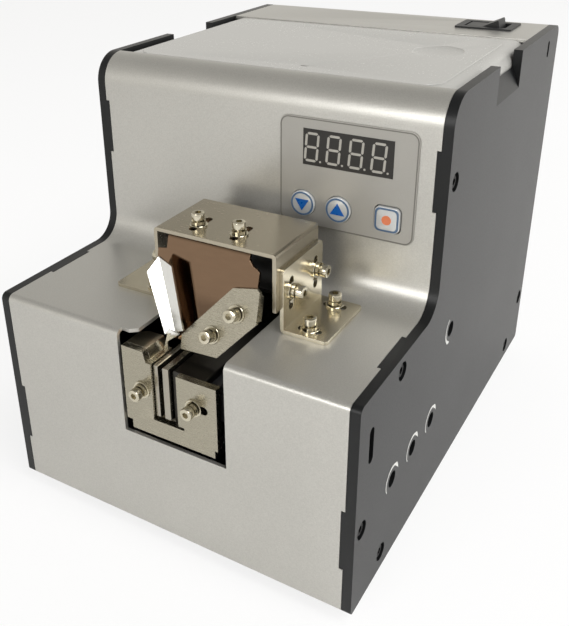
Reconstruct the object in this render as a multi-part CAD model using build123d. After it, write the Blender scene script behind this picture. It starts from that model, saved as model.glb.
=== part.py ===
"""Automatic screw feeder: a bench unit that lifts small screws out of a hopper with a
turning drum, shakes them along a slotted rail and offers them one by one at the front.

Working frame of this file, in millimetres: x = 0 on the middle of the casing and +X to the
right, y = 0 on the front edge of the side plates and +Y to the back, z = 0 on the bottom
edge of the side plates.  save() moves every piece into the part's own frame.
"""
import os
from math import atan2, cos, degrees, pi, radians, sin, sqrt, tan

from build123d import *

# ---------------------------------------------------------------- driving dimensions
CASE_W = 125.0          # over the side plates
CASE_D = 177.0
CASE_H = 137.0          # side plates, without the feet
LOW_H = 71.5            # height of the low front block
FACE_Y = 55.8           # front of the tall housing
R_NOSE, R_INSIDE, R_BEND, R_HEEL, R_SOLE = 2.2, 9.0, 9.5, 4.2, 1.5
PLATE_T = 3.0
SHEET_T = 1.2
LIP_W, LIP_D = 7.0, 1.2          # inner lip of a side plate: width and depth
FIT = 0.3                        # gap between neighbouring shells
RUN = 0.05                       # radial running clearance of a shaft
FOOT_H, FOOT_R = 5.0, 6.0
FOOT_IN_X, FOOT_IN_Y = 14.0, 16.0

LID_T, LID_SKIRT, LID_R = 2.0, 8.0, 5.0
LID_STEP, LID_BORDER, LID_CORNER = 0.4, 5.5, 8.0    # raised middle of the lid
REAR_TOP = 35.5                  # top of the rear cover, behind the lid
GRIP_W, GRIP_BACK = 26.3, 18.0   # finger notches beside the lid, back from the lid's end
GRIP_IN, GRIP_OUT = 5.8, 12.4    # their depth at the inner and the outer face
DIMPLE_X, DIMPLE_BACK = 38.2, 31.1                  # finger dimple of the lid
DIMPLE_RX, DIMPLE_RY, DIMPLE_DEPTH = 8.4, 9.0, 0.9
SLIT_X0, SLIT_X1, SLIT_IN, SLIT_W = 7.0, 9.6, 6.3, 1.0

# panel on the tall face: its heights are shares of the flat face, the rest shares of the film
PANEL_W, PANEL_SIDE, PANEL_T, PANEL_R = 44.5, 5.9, 0.5, 3.0
PANEL_LOW, PANEL_HIGH = 0.23, 0.972
WINDOW_LEFT, WINDOW_RIGHT, WINDOW_LOW, WINDOW_HIGH = 8.0, 7.4, 0.576, 0.903
BUTTON_AT, BUTTON_R = 0.212, 4.0
DOWN_IN, UP_IN, SET_IN = 8.3, 20.3, 36.2
SET_W, SET_R = 8.0, 1.6
BUTTON_PROUD, BUTTON_TRAVEL = 0.9, 0.6

# pick-up opening in the cover and what stands in it
OPEN_X0, OPEN_X1, OPEN_H, OPEN_Y1 = -15.2, 21.8, 35.5, 44.0
TOP_X0, CHAMFER_Y = -10.4, 4.0
RAIL_X, SLOT_W, BAR_W = -0.9, 1.6, 1.5
BAR_R_W = 2.2                    # the right-hand bar is the wider one
RAIL_DROP, RAIL_DEEP = 8.5, 18.0
RAIL_Y0 = 1.0
RAIL_STROKE = 0.4
STOP_X0, STOP_X1, STOP_LIFT, STOP_T = -13.9, 19.1, 2.2, 2.4
STOP_DROP_L, STOP_DROP_M, STOP_DROP_R = 4.4, 7.9, 9.2
STOP_SCREW_LX, STOP_SCREW_RX, STOP_SCREW_DROP_L, STOP_SCREW_DROP_R = -7.2, 11.3, 17.8, 17.8
NOTCH_GAP, NOTCH_DEEP = 3.3, 18.1

# hood over the rail
HOOD_X0, HOOD_X1, HOOD_Y0, HOOD_Y1 = -14.8, 27.0, 20.4, 46.4
HOOD_RISE, HOOD_DROP, HOOD_T = 25.7, 18.2, 1.2
BRACKET_Y0, BRACKET_Y1 = 22.6, 47.3
RIGHT_FOOT, LEFT_FOOT, LEAF_H = 13.8, 17.3, 20.3
FOOT_SCREW_R, FOOT_SCREW_L, FOOT_SLOT_R, FOOT_SLOT_L = 6.5, 4.2, 4.8, 2.2   # along a foot
TOP_SLOTS_X, TOP_SLOT_Y0, TOP_SLOT_Y1 = (-3.4, 10.8), 23.4, 34.2
TOP_SCREW_Y = 27.6
LEAF_SLOTS_Y, LEAF_SLOT_LOW, LEAF_SLOT_HIGH, LEAF_SCREW_UP = (27.4, 42.8), 6.0, 16.6, 12.3
FOOT_SCREWS_Y = (26.6, 43.2)
GUARD_IN, GUARD_TILT, GUARD_T, GUARD_BEND = 0.4, 16.0, 1.0, 1.6
GATE_T, GATE_FOLD = 1.2, 1.8

# drum, gears and brush
AXIS_RISE = 1.0                  # drum axis over the top of the rail
DRUM_R, DRUM_WALL, DRUM_IN, DRUM_L = 30.0, 2.0, 38.2, 19.0
VANES, VANE_IN, VANE_T = 8, 20.6, 1.6
SHAFT_R = 4.0
DRUM_PITCH_R, GEAR_W, GEAR_BACK = 24.0, 4.0, 5.0
DRUM_TEETH, PINION_TEETH, CRANK_TEETH = 60, 18, 30
PINION_AT, CRANK_AT = 50.0, -35.0      # degrees from straight up, as seen from the front
BACKLASH = 0.12
BRUSH_RISE, BRUSH_GAP, BRUSH_FRONT, BRUSH_W = 39.0, 0.8, 18.0, 8.0
BRUSH_SHAFT_R, CRANK_PIN_R, CRANK_THROW = 2.0, 1.5, 7.0
FRAME_BACK, FRAME_T = 6.5, 3.0
FRAME_LEFT, FRAME_RIGHT, FRAME_FOOT = 34.0, 38.0, 16.0
MOTOR_R, HEAD_L, MOTOR_CLEAR = 12.0, 18.0, 5.3
BOSS_L, SHAFT_OUT = 25.0, 4.0

# hopper
HOP_SIDE, HOP_FRONT, HOP_T = 15.5, 3.2, 1.5
HOP_FLOOR, HOP_LOW, HOP_KNEE, HOP_MOUTH_UP = 14.0, 24.0, 8.0, 33.0

# electrics
TRIMMERS = ((26.4, 30.3), (42.8, 30.3), (59.2, 30.3), (71.8, 57.9))    # y, z
TRIMMER_HOLE_R, TRIMMER_W, TRIMMER_L = 2.6, 6.8, 4.2
BOARD_Y0, BOARD_Y1, BOARD_Z0, BOARD_DROP = 18.0, 86.0, 16.0, 2.5
BOARD_GAP, BOARD_T, COUNTER_GAP = 9.5, 1.6, 8.0
SWITCH_L, SWITCH_W, SWITCH_SIDE, SWITCH_BACK = 21.0, 15.0, 9.1, 8.4
SWITCH_PROUD, SWITCH_DEEP, SWITCH_WELL, SWITCH_BODY = 0.6, 16.0, 9.0, 1.0
SWITCH_RIM_X, SWITCH_RIM_Y = 2.8, 2.7
ROCKER_TILT, ROCKER_DROP, ROCKER_END = 12.0, 4.0, 1.4    # swing, pivot's depth, room at the ends
JACK_SIDE, JACK_Z, JACK_PROUD = 21.5, 22.0, 3.0

# screws with captive washers, and plain ones in the side plates
SCREW_R, HEAD_R, HEAD_H = 1.2, 2.0, 2.2
WASHER_R, WASHER_T, SPRING_R, SPRING_T = 2.8, 0.6, 2.2, 1.5
SCREW_STACK = WASHER_T + SPRING_T + HEAD_H
SCREW_HOLE = SCREW_R + 0.2
SLOT_HALF = SCREW_R + 0.15
PAN_R, PAN_HEAD_R, PAN_SINK = 1.45, 2.6, 1.9
PAN_HOLE = PAN_R + 0.2

# ---------------------------------------------------------------- derived places
HALF = CASE_W / 2
INNER = HALF - PLATE_T                      # inner face of a side plate
COVER_X = INNER - 0.1                       # half width of the covers
LID_Y0 = FACE_Y + R_BEND
LID_BACK = CASE_D - REAR_TOP                # seam between the lid and the rear cover
GRIP_Y1 = LID_BACK - GRIP_BACK
GRIP_Y0 = GRIP_Y1 - GRIP_W
LEDGE_Z = CASE_H - LID_SKIRT - FIT          # what the lid and the hopper stand on

FLAT_Z0 = LOW_H + R_INSIDE                  # flat part of the tall face
FLAT_H = CASE_H - R_BEND - FLAT_Z0
PANEL_X1 = COVER_X - PANEL_SIDE
PANEL_X0 = PANEL_X1 - PANEL_W
PANEL_Z0, PANEL_Z1 = FLAT_Z0 + PANEL_LOW * FLAT_H, FLAT_Z0 + PANEL_HIGH * FLAT_H
PANEL_H = PANEL_Z1 - PANEL_Z0
WINDOW_X0, WINDOW_X1 = PANEL_X0 + WINDOW_LEFT, PANEL_X1 - WINDOW_RIGHT
WINDOW_Z0, WINDOW_Z1 = PANEL_Z0 + WINDOW_LOW * PANEL_H, PANEL_Z0 + WINDOW_HIGH * PANEL_H
BUTTON_Z = PANEL_Z0 + BUTTON_AT * PANEL_H
DOWN_X, UP_X, SET_X = PANEL_X0 + DOWN_IN, PANEL_X0 + UP_IN, PANEL_X0 + SET_IN

OPEN_Z0 = LOW_H - OPEN_H
RAIL_TOP = LOW_H - RAIL_DROP
RAIL_BOTTOM = RAIL_TOP - RAIL_DEEP
STOP_Z0 = OPEN_Z0 + STOP_LIFT
STOP_ZL, STOP_ZM, STOP_ZR = LOW_H - STOP_DROP_L, LOW_H - STOP_DROP_M, LOW_H - STOP_DROP_R
STOP_SCREWS = ((STOP_SCREW_LX, LOW_H - STOP_SCREW_DROP_L), (STOP_SCREW_RX, LOW_H - STOP_SCREW_DROP_R))

HOOD_TOP = LOW_H + HOOD_RISE
LEAF_SLOT_Z0, LEAF_SLOT_Z1 = LOW_H + LEAF_SLOT_LOW, LOW_H + LEAF_SLOT_HIGH
LEAF_SCREW_Z = LOW_H + LEAF_SCREW_UP

AXIS_Z = RAIL_TOP + AXIS_RISE
DRUM_Y0 = FACE_Y + DRUM_IN
DRUM_Y1 = DRUM_Y0 + DRUM_L
RAIL_Y1 = DRUM_Y1 - 5.5
MODULE = 2 * DRUM_PITCH_R / DRUM_TEETH
GEAR_Y = DRUM_Y1 + GEAR_BACK
FRAME_Y = GEAR_Y + FRAME_BACK
MOTOR_L = CASE_D - SHEET_T - MOTOR_CLEAR - FRAME_Y - FRAME_T
BRUSH_Z = AXIS_Z + BRUSH_RISE
BRUSH_R = BRUSH_Z - RAIL_TOP - BRUSH_GAP
BRUSH_Y0 = DRUM_Y0 - BRUSH_FRONT
BRUSH_Y1 = BRUSH_Y0 + BRUSH_W

PLATE_SCREWS = ((28.6, LOW_H - 4.9), (4.8, 28.5), (FACE_Y + 5.6, CASE_H - 25.5), (20.9, 6.6),
                (CASE_D - 19.5, 5.7), (CASE_D - 5.0, 22.1))
SWITCH_X1 = INNER - SWITCH_SIDE
SWITCH_X0 = SWITCH_X1 - SWITCH_L
SWITCH_Y1 = CASE_D - SWITCH_BACK
SWITCH_Y0 = SWITCH_Y1 - SWITCH_W
JACK_X = JACK_SIDE - INNER
Y_LOW = -SCREW_STACK       # front of the foremost screw head
Y_HIGH = CASE_D + JACK_PROUD
PLACE = Pos(0, -(Y_LOW + Y_HIGH) / 2, FOOT_H)

os.makedirs("parts", exist_ok=True)


def save(node, *solids):
    """Write the solids of one node as one STEP file, in the part's own frame."""
    placed = [PLACE * solid for solid in solids]
    shape = placed[0] if len(placed) == 1 else Compound(placed)
    export_step(shape, f"parts/{node}.step")


def block(x0, x1, y0, y1, z0, z1):
    """A rectangular block between two corners."""
    return Pos((x0 + x1) / 2, (y0 + y1) / 2, (z0 + z1) / 2) * Box(x1 - x0, y1 - y0, z1 - z0)


def across(face, x0, x1):
    """A face drawn in y and z, made solid from x0 to x1."""
    return Pos(x0, 0, 0) * extrude(Plane.YZ * face, x1 - x0)


def along(face, y0, y1):
    """A face drawn in x and z, made solid from y0 to y1."""
    return Pos(0, y1, 0) * extrude(Plane.XZ * face, y1 - y0)


def upright(face, z0, z1):
    """A face drawn in x and y, made solid from z0 to z1."""
    return Pos(0, 0, z0) * extrude(face, z1 - z0)


def polygon(*points):
    return make_face(Polyline(*points, close=True))


def rounded(x0, x1, y0, y1, r):
    return Pos((x0 + x1) / 2, (y0 + y1) / 2) * RectangleRounded(x1 - x0, y1 - y0, r)


def rod_x(r, x0, x1, y, z):
    return Pos((x0 + x1) / 2, y, z) * Rot(0, 90, 0) * Cylinder(r, x1 - x0)


def rod_y(r, y0, y1, x, z):
    return Pos(x, (y0 + y1) / 2, z) * Rot(90, 0, 0) * Cylinder(r, y1 - y0)


def rod_z(r, z0, z1, x, y):
    return Pos(x, y, (z0 + z1) / 2) * Cylinder(r, z1 - z0)


def slot_face(u0, v0, u1, v1, r):
    """A slot from one end centre to the other."""
    length = sqrt((u1 - u0) ** 2 + (v1 - v0) ** 2)
    turn = degrees(atan2(v1 - v0, u1 - u0))
    return Pos((u0 + u1) / 2, (v0 + v1) / 2) * Rot(0, 0, turn) * SlotOverall(length + 2 * r, 2 * r)


# ---------------------------------------------------------------- casing
def outline(inset=0.0):
    """Stepped outline of the casing, drawn in y and z, moved inwards by inset."""
    corners = ((0, 0), (0, LOW_H), (FACE_Y, LOW_H), (FACE_Y, CASE_H), (CASE_D, CASE_H), (CASE_D, 0))
    radii = [R_SOLE, R_NOSE, R_INSIDE, R_BEND, R_HEEL, R_SOLE]
    face = make_face(FilletPolyline(*corners, radius=radii, close=True))
    return offset(face, amount=-inset, kind=Kind.ARC) if inset else face


LUGS = (  # where a side plate reaches into a cover's edge: y0, y1, z0, z1
    (-1, SHEET_T + FIT, LOW_H - 55.0, LOW_H - 34.5),
    (FACE_Y - 35.8, FACE_Y - 17.8, LOW_H - SHEET_T - FIT, LOW_H + 1),
    (FACE_Y - 1, FACE_Y + SHEET_T + FIT, CASE_H - 33.5, CASE_H - 15.5),
)


def side_plate(hand):
    """Moulded side plate: flat wall, inner lip that the covers lie on, a ledge for the lid and
    the hopper, lugs that enter the covers' edges, and a scooped finger notch."""
    wall = across(outline(), INNER, HALF)
    lip = across(outline(SHEET_T + FIT) - outline(LIP_W), INNER - LIP_D, INNER)
    ledge = across(polygon((LID_Y0, LEDGE_Z), (LID_BACK, LEDGE_Z), (LID_BACK, LEDGE_Z - 5), (LID_Y0, LEDGE_Z - 5)),
                   INNER - 8, INNER)
    ledge -= across(polygon((LID_Y0 - 1, LEDGE_Z - 5.1), (LID_BACK + 1, LEDGE_Z - 5.1), (LID_BACK + 1, LEDGE_Z - 2),
                            (LID_Y0 - 1, LEDGE_Z - 2)), INNER - 9, INNER - 2)
    plate = wall + lip + ledge
    bay = block(INNER - LIP_D - 1, INNER, LID_Y0 - FIT, LID_BACK + FIT, LEDGE_Z, CASE_H + 1)
    plate -= bay
    for y0, y1, z0, z1 in LUGS:
        plate += across(outline() & polygon((y0, z0), (y1, z0), (y1, z1), (y0, z1)), INNER - LIP_D, INNER)
    scoop = polygon((INNER - 0.01, CASE_H + 1), (INNER - 0.01, CASE_H - GRIP_IN), (HALF, CASE_H - GRIP_OUT),
                    (HALF + 1, CASE_H - GRIP_OUT), (HALF + 1, CASE_H + 1))
    plate -= along(scoop, GRIP_Y0, GRIP_Y1)
    for y, z in PLATE_SCREWS:
        plate -= rod_x(PAN_HOLE, INNER - LIP_D - 1, HALF + 1, y, z)
        plate -= rod_x(PAN_HEAD_R + 0.3, HALF - PAN_SINK, HALF + 1, y, z)
    if hand > 0:
        for y, z in TRIMMERS:
            plate -= rod_x(TRIMMER_HOLE_R, INNER - 1, HALF + 1, y, z)
        for y, z in BOARD_POSTS:
            plate += rod_x(3.0, BOARD_X + BOARD_T, INNER, y, z) - rod_x(1.2, BOARD_X + BOARD_T - 1, INNER, y, z)
        for y, z0, z1, half in PLATE_SLOTS:
            plate -= across(slot_face(y, z0, y, z1, half), INNER - LIP_D - 1, HALF + 1)
        return plate
    return mirror(plate, about=Plane.YZ)


PLATE_SLOTS = ((8.3, LOW_H - 20.8, LOW_H - 12.2, 1.5), (CASE_D - 14.5, CASE_H - 8.7, CASE_H - 5.1, 1.2))
BOARD_X = INNER - BOARD_GAP
BOARD_Z1 = LOW_H - BOARD_DROP
COUNTER_Y = FACE_Y + COUNTER_GAP
POST_Z = BUTTON_Z + BUTTON_R + 3.6
COUNTER_POSTS = ((PANEL_X0 + 5, PANEL_Z1 - 4), (PANEL_X1 - 4, PANEL_Z1 - 4), (PANEL_X0 + 5, POST_Z),
                 (PANEL_X1 - 3.5, POST_Z))
BOARD_POSTS = ((BOARD_Y0 + 4, BOARD_Z0 + 4), (BOARD_Y0 + 4, BOARD_Z1 - 11), (BOARD_Y1 - 4, BOARD_Z0 + 4),
               (BOARD_Y1 - 4, BOARD_Z1 - 4))


def sheet(cut):
    """The covers are one skin that follows the outline; cut keeps one stretch of it."""
    skin = across(outline() - outline(SHEET_T), -COVER_X, COVER_X)
    return skin & cut


def relieve(cover):
    """Cut the edge of a cover back where the side plates' lugs stand."""
    for y0, y1, z0, z1 in LUGS:
        for side in (-1, 1):
            x0, x1 = sorted((side * (INNER - LIP_D - 0.1), side * (INNER + 1)))
            cover -= block(x0, x1, y0 - 0.2, y1 + 0.2, z0 - 0.2, z1 + 0.2)
    return cover


def tabs(places, root_y=None, root_z=None):
    """Ears folded inwards from a cover, flat against the side plates' lips, one per screw."""
    half, t = 4.5, SHEET_T
    x1 = INNER - LIP_D
    ears = []
    for y, z in places:
        y0, y1 = (y - half, y + half) if root_y is None else sorted((root_y, y + half * (1 if y > root_y else -1)))
        z0, z1 = (z - half, z + half) if root_z is None else sorted((root_z, z + half * (1 if z > root_z else -1)))
        ear = block(x1 - t, x1, y0, y1, z0, z1) - rod_x(PAN_HOLE, x1 - t - 1, x1 + 1, y, z)
        ears += [ear, mirror(ear, about=Plane.YZ)]
    return ears


def front_cover():
    keep = block(-HALF, HALF, -1, LID_Y0 - 0.1, 4, CASE_H + 1) + block(-HALF, HALF, -1, 8, -1, 5)
    cover = sheet(keep)
    front = polygon((OPEN_X0, OPEN_Z0), (OPEN_X1, OPEN_Z0), (OPEN_X1, LOW_H + 2), (OPEN_X0, LOW_H + 2))
    cover -= along(front, -2, R_NOSE + 0.5)
    top = polygon((OPEN_X0, -1), (OPEN_X0, 0.5), (TOP_X0, CHAMFER_Y + 0.5), (TOP_X0, OPEN_Y1), (OPEN_X1, OPEN_Y1),
                  (OPEN_X1, -1))
    cover -= upright(top, LOW_H - 4, LOW_H + 2)
    cover -= along(rounded(WINDOW_X0, WINDOW_X1, WINDOW_Z0, WINDOW_Z1, 0.6), FACE_Y - 1, FACE_Y + 3)
    for x in (DOWN_X, UP_X):
        cover -= rod_y(BUTTON_R + 0.25, FACE_Y - 1, FACE_Y + 3, x, BUTTON_Z)
    cover -= along(Pos(SET_X, BUTTON_Z) * RectangleRounded(SET_W + 0.5, SET_W + 0.5, SET_R), FACE_Y - 1, FACE_Y + 3)
    for x in (foot_screw_x(1), foot_screw_x(-1)):
        for y in FOOT_SCREWS_Y:
            cover -= rod_z(SCREW_HOLE, LOW_H - 3, LOW_H + 1, x, y)
    ears = tabs(PLATE_SCREWS[:1], root_z=LOW_H - SHEET_T) + tabs(PLATE_SCREWS[1:2], root_y=SHEET_T)
    ears += tabs(PLATE_SCREWS[2:3], root_y=FACE_Y + SHEET_T)
    for x, z in COUNTER_POSTS:
        ears.append(rod_y(2.2, FACE_Y + SHEET_T - 0.1, COUNTER_Y, x, z))
    for ear in ears:
        cover += ear
    return relieve(cover)


def rear_cover():
    keep = block(-HALF, HALF, LID_BACK, CASE_D + 1, 4, CASE_H + 1) + block(-HALF, HALF, CASE_D - 8, CASE_D + 1, -1, 5)
    cover = sheet(keep)
    edge = SWITCH_BODY - 0.2
    cover -= block(SWITCH_X0 + edge, SWITCH_X1 - edge, SWITCH_Y0 + edge, SWITCH_Y1 - edge, CASE_H - 3, CASE_H + 1)
    cover -= rod_y(5.0, CASE_D - 3, CASE_D + 1, JACK_X, JACK_Z)
    for ear in tabs(PLATE_SCREWS[5:6], root_y=CASE_D - SHEET_T):
        cover += ear
    return cover


def base_plate():
    keep = block(-HALF, HALF, 8 + FIT, CASE_D - 8 - FIT, -1, SHEET_T + 0.1)
    plate = sheet(keep)
    for ear in tabs(PLATE_SCREWS[3:5], root_z=SHEET_T):
        plate += ear
    return plate


def foot_places():
    return [(sx * (HALF - FOOT_IN_X), y) for sx in (-1, 1) for y in (FOOT_IN_Y, CASE_D - FOOT_IN_Y)]


def rubber_foot(x, y):
    profile = polygon((0, 0), (FOOT_R, 0), (FOOT_R - 1, -FOOT_H), (2.0, -FOOT_H), (2.0, -FOOT_H + 2), (0, -FOOT_H + 2))
    return Pos(x, y, 0) * revolve(Plane.XZ * profile, Axis.Z)


# ---------------------------------------------------------------- screws
def capped_screw(length):
    """Socket-head screw with its spring and flat washers, standing up from z = 0."""
    z1, z2, top = WASHER_T, WASHER_T + SPRING_T, SCREW_STACK
    profile = polygon((0, -length), (SCREW_R, -length), (SCREW_R, 0), (WASHER_R, 0), (WASHER_R, z1), (SPRING_R, z1),
                      (SPRING_R, z2), (HEAD_R, z2), (HEAD_R, top), (0, top))
    screw = revolve(Plane.XZ * profile, Axis.Z)
    return screw - Pos(0, 0, top - 1.2) * extrude(RegularPolygon(HEAD_R / 2, 6), 2)


def sunk_screw(length):
    """Pan-head screw without washers, its head standing up from z = 0."""
    profile = polygon((0, -length), (PAN_R, -length), (PAN_R, 0), (PAN_HEAD_R, 0), (PAN_HEAD_R - 0.7, 1.4), (0, 1.4))
    screw = revolve(Plane.XZ * profile, Axis.Z)
    return screw - Pos(0, 0, 0.6) * extrude(RegularPolygon(1.1, 6), 2)


def side_screws(side):
    seat = side * (HALF - PAN_SINK)
    return [Pos(seat, y, z) * Rot(0, side * 90, 0) * sunk_screw(4.6) for y, z in PLATE_SCREWS]


# ---------------------------------------------------------------- hood, brackets, guard and gate
def foot_screw_x(side):
    return HOOD_X1 + HOOD_T + FOOT_SCREW_R if side > 0 else HOOD_X0 - HOOD_T - FOOT_SCREW_L


def hood():
    """Folded hood: a top with two fore-and-aft slots and two cheeks."""
    outer = polygon((HOOD_X0, HOOD_TOP - HOOD_DROP), (HOOD_X0, HOOD_TOP), (HOOD_X1, HOOD_TOP),
                    (HOOD_X1, HOOD_TOP - HOOD_DROP), (HOOD_X1 - HOOD_T, HOOD_TOP - HOOD_DROP),
                    (HOOD_X1 - HOOD_T, HOOD_TOP - HOOD_T), (HOOD_X0 + HOOD_T, HOOD_TOP - HOOD_T),
                    (HOOD_X0 + HOOD_T, HOOD_TOP - HOOD_DROP))
    body = along(outer, HOOD_Y0, HOOD_Y1)
    tops = body.edges().filter_by(Axis.Y).group_by(Axis.Z)[-1]
    body = fillet(tops, 1.2)
    for x in TOP_SLOTS_X:
        body -= upright(slot_face(x, TOP_SLOT_Y0 + SLOT_HALF, x, TOP_SLOT_Y1 - SLOT_HALF, SLOT_HALF), HOOD_TOP - 3,
                        HOOD_TOP + 1)
    for y in LEAF_SLOTS_Y:
        body -= rod_x(SCREW_HOLE, HOOD_X0 - 1, HOOD_X1 + 1, y, LEAF_SCREW_Z)
    return body


def bracket(side):
    """Angle bracket between the hood's cheek and the cover: upright leaf with two upright slots
    and a foot with two cross slots."""
    reach = RIGHT_FOOT if side > 0 else LEFT_FOOT
    z0 = LOW_H
    profile = polygon((0, z0), (reach + HOOD_T, z0), (reach + HOOD_T, z0 + HOOD_T), (HOOD_T, z0 + HOOD_T),
                      (HOOD_T, z0 + LEAF_H), (0, z0 + LEAF_H))
    body = along(profile, BRACKET_Y0, BRACKET_Y1)
    body = fillet(body.edges().filter_by(Axis.Y).filter_by(lambda e: abs(e.center().X) < 0.1 and e.center().Z < z0 + 1),
                  1.5)
    corners = body.edges().filter_by(Axis.Z).group_by(Axis.X)[-1]
    body = fillet(corners, 1.2)
    body = fillet(body.edges().filter_by(Axis.X).group_by(Axis.Z)[-1], 1.2)
    for y in LEAF_SLOTS_Y:
        body -= across(slot_face(y, LEAF_SLOT_Z0 + SLOT_HALF, y, LEAF_SLOT_Z1 - SLOT_HALF, SLOT_HALF), -1, HOOD_T + 1)
    middle, slot = (FOOT_SCREW_R, FOOT_SLOT_R) if side > 0 else (FOOT_SCREW_L, FOOT_SLOT_L)
    for y in FOOT_SCREWS_Y:
        ends = HOOD_T + middle - slot / 2, HOOD_T + middle + slot / 2
        body -= upright(slot_face(ends[0], y, ends[1], y, SLOT_HALF), z0 - 1, z0 + HOOD_T + 1)
    if side > 0:
        return Pos(HOOD_X1, 0, 0) * body
    return Pos(HOOD_X0, 0, 0) * mirror(body, about=Plane.YZ)


GUARD_TOP = HOOD_TOP - HOOD_T
GUARD_FRONT = HOOD_Y0 + GUARD_IN      # front of the guard's bend
GUARD_PLANE = Pos(0, GUARD_FRONT, GUARD_TOP) * Rot(-GUARD_TILT, 0, 0)

# outlines in x and in height from the guard's bend, as the hood is from the front
GUARD_TAB_X0, GUARD_TAB_X1 = -9.7, 18.6
GUARD_SHAPE = ((-12.8, -5.0), (GUARD_TAB_X0, -4.5), (GUARD_TAB_X0, 0), (GUARD_TAB_X1, 0), (GUARD_TAB_X1, -2.2),
               (20.0, -3.7), (21.4, -4.3), (22.3, -5.1), (22.3, -19.6), (12.6, -30.9), (-4.5, -30.9), (-12.2, -14.8))
GATE_SHAPE = ((0.1, -33.2), (12.7, -32.6), (24.0, -19.6), (23.8, -10.3), (22.8, -9.4), (15.1, -10.9), (-0.2, -28.6))
GATE_SCREWS = ((10.1, -26.2), (17.2, -18.1))


def on_guard(face, t0, t1):
    """A face drawn in x and height from the guard's bend, made solid from depth t0 to depth t1
    behind the guard's front."""
    return GUARD_PLANE * (Pos(0, t1, 0) * extrude(Plane.XZ * face, t1 - t0))


def guard():
    """Polished guard: a flange under the hood and a leaning face that closes its front."""
    flange = block(GUARD_TAB_X0, GUARD_TAB_X1, GUARD_FRONT, TOP_SLOT_Y1 + 3, GUARD_TOP - GUARD_T, GUARD_TOP)
    body = on_guard(polygon(*GUARD_SHAPE), 0, GUARD_T) + flange
    bend = body.edges().filter_by(Axis.X).filter_by(
        lambda e: abs(e.center().Z - GUARD_TOP) < 0.01 and abs(e.center().Y - GUARD_FRONT) < 0.01)
    body = fillet(bend, GUARD_BEND)
    for x in TOP_SLOTS_X:
        body -= rod_z(SCREW_HOLE, GUARD_TOP - 3, GUARD_TOP + 1, x, TOP_SCREW_Y)
    for x, z in GATE_SCREWS:
        body -= on_guard(Pos(x, z) * Circle(SCREW_HOLE), -1, GUARD_T + 1)
    return body


def gate():
    """Gate plate that sets the headroom over the rail: a slanting strap bolted to the guard, its
    right-hand edge folded back past the guard."""
    body = on_guard(polygon(*GATE_SHAPE), -GATE_T, 0)
    (x0, z0), (x1, z1) = GATE_SHAPE[2], GATE_SHAPE[3]
    edge = polygon((x0 - GATE_T, z0 + 0.6), (x0, z0 + 0.6), (x1, z1 - 1.6), (x1 - GATE_T, z1 - 0.6))
    body += on_guard(edge, -0.1, GATE_FOLD)
    for x, z in GATE_SCREWS:
        body -= on_guard(Pos(x, z) * Circle(SCREW_HOLE), -GATE_T - 1, 1)
    return body


def gate_screw_places():
    return [GUARD_PLANE * Pos(x, -GATE_T, z) * Rot(90, 0, 0) for x, z in GATE_SCREWS]


GUIDE_TIP, GUIDE_END, GUIDE_OFF, GUIDE_T = (-9.5, -6.7), (-0.7, -27.6), 4.0, 0.8
GUIDE_HALF_TOP, GUIDE_HALF_END, GUIDE_POINT, GUIDE_VEE = 4.5, 3.3, 3.6, 14.0


def bit_guide():
    """Vee-shaped strip that leads a driver bit down to the screw: pointed top, tapering wings, and a
    foot bent down onto the left-hand track block."""
    dx, dz = GUIDE_END[0] - GUIDE_TIP[0], GUIDE_END[1] - GUIDE_TIP[1]
    length = sqrt(dx * dx + dz * dz)
    turn = degrees(atan2(dx, -dz))
    w, rise = GUIDE_HALF_TOP + 1, (GUIDE_HALF_TOP + 1) * tan(radians(GUIDE_VEE))
    section = polygon((-w, -rise), (0, 0), (w, -rise), (w, GUIDE_T - rise), (0, GUIDE_T), (-w, GUIDE_T - rise))
    shape = polygon((0, 0), (GUIDE_HALF_TOP, -GUIDE_POINT), (GUIDE_HALF_END, -length), (-GUIDE_HALF_END, -length),
                    (-GUIDE_HALF_TOP, -GUIDE_POINT))
    strip = upright(section, -length - 1, 1) & along(shape, -9, 9)
    strip = GUARD_PLANE * Pos(GUIDE_TIP[0], -GUIDE_OFF, GUIDE_TIP[1]) * Rot(0, -turn, 0) * strip
    top = GUARD_TOP + GUIDE_END[1] + 2.8
    foot = polygon((BLOCK_L - 1.6, STOP_ZM), (BLOCK_L - 0.1, STOP_ZM), (BLOCK_L - 0.1, STOP_ZM + 3.0),
                   (GUIDE_END[0] + 1.6, top - 0.8), (GUIDE_END[0] - 2.2, top))
    return strip + along(foot, GUIDE_FOOT_Y, GUIDE_FOOT_Y + GUIDE_T)


GUIDE_FOOT_Y = 9.0


# ---------------------------------------------------------------- pick-up front and rail
BAR_L0 = RAIL_X - SLOT_W / 2 - BAR_W
BAR_R1 = RAIL_X + SLOT_W / 2 + BAR_R_W
BLOCK_L, BLOCK_R = BAR_L0 - FIT, BAR_R1 + 0.5
NOTCH_R = BAR_R1 + NOTCH_GAP
NOTCH_Z = RAIL_TOP - NOTCH_DEEP
BLOCK_R1 = BLOCK_R + 11.6
BLOCK_BOTTOM = OPEN_Z0 + 2.0


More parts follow.
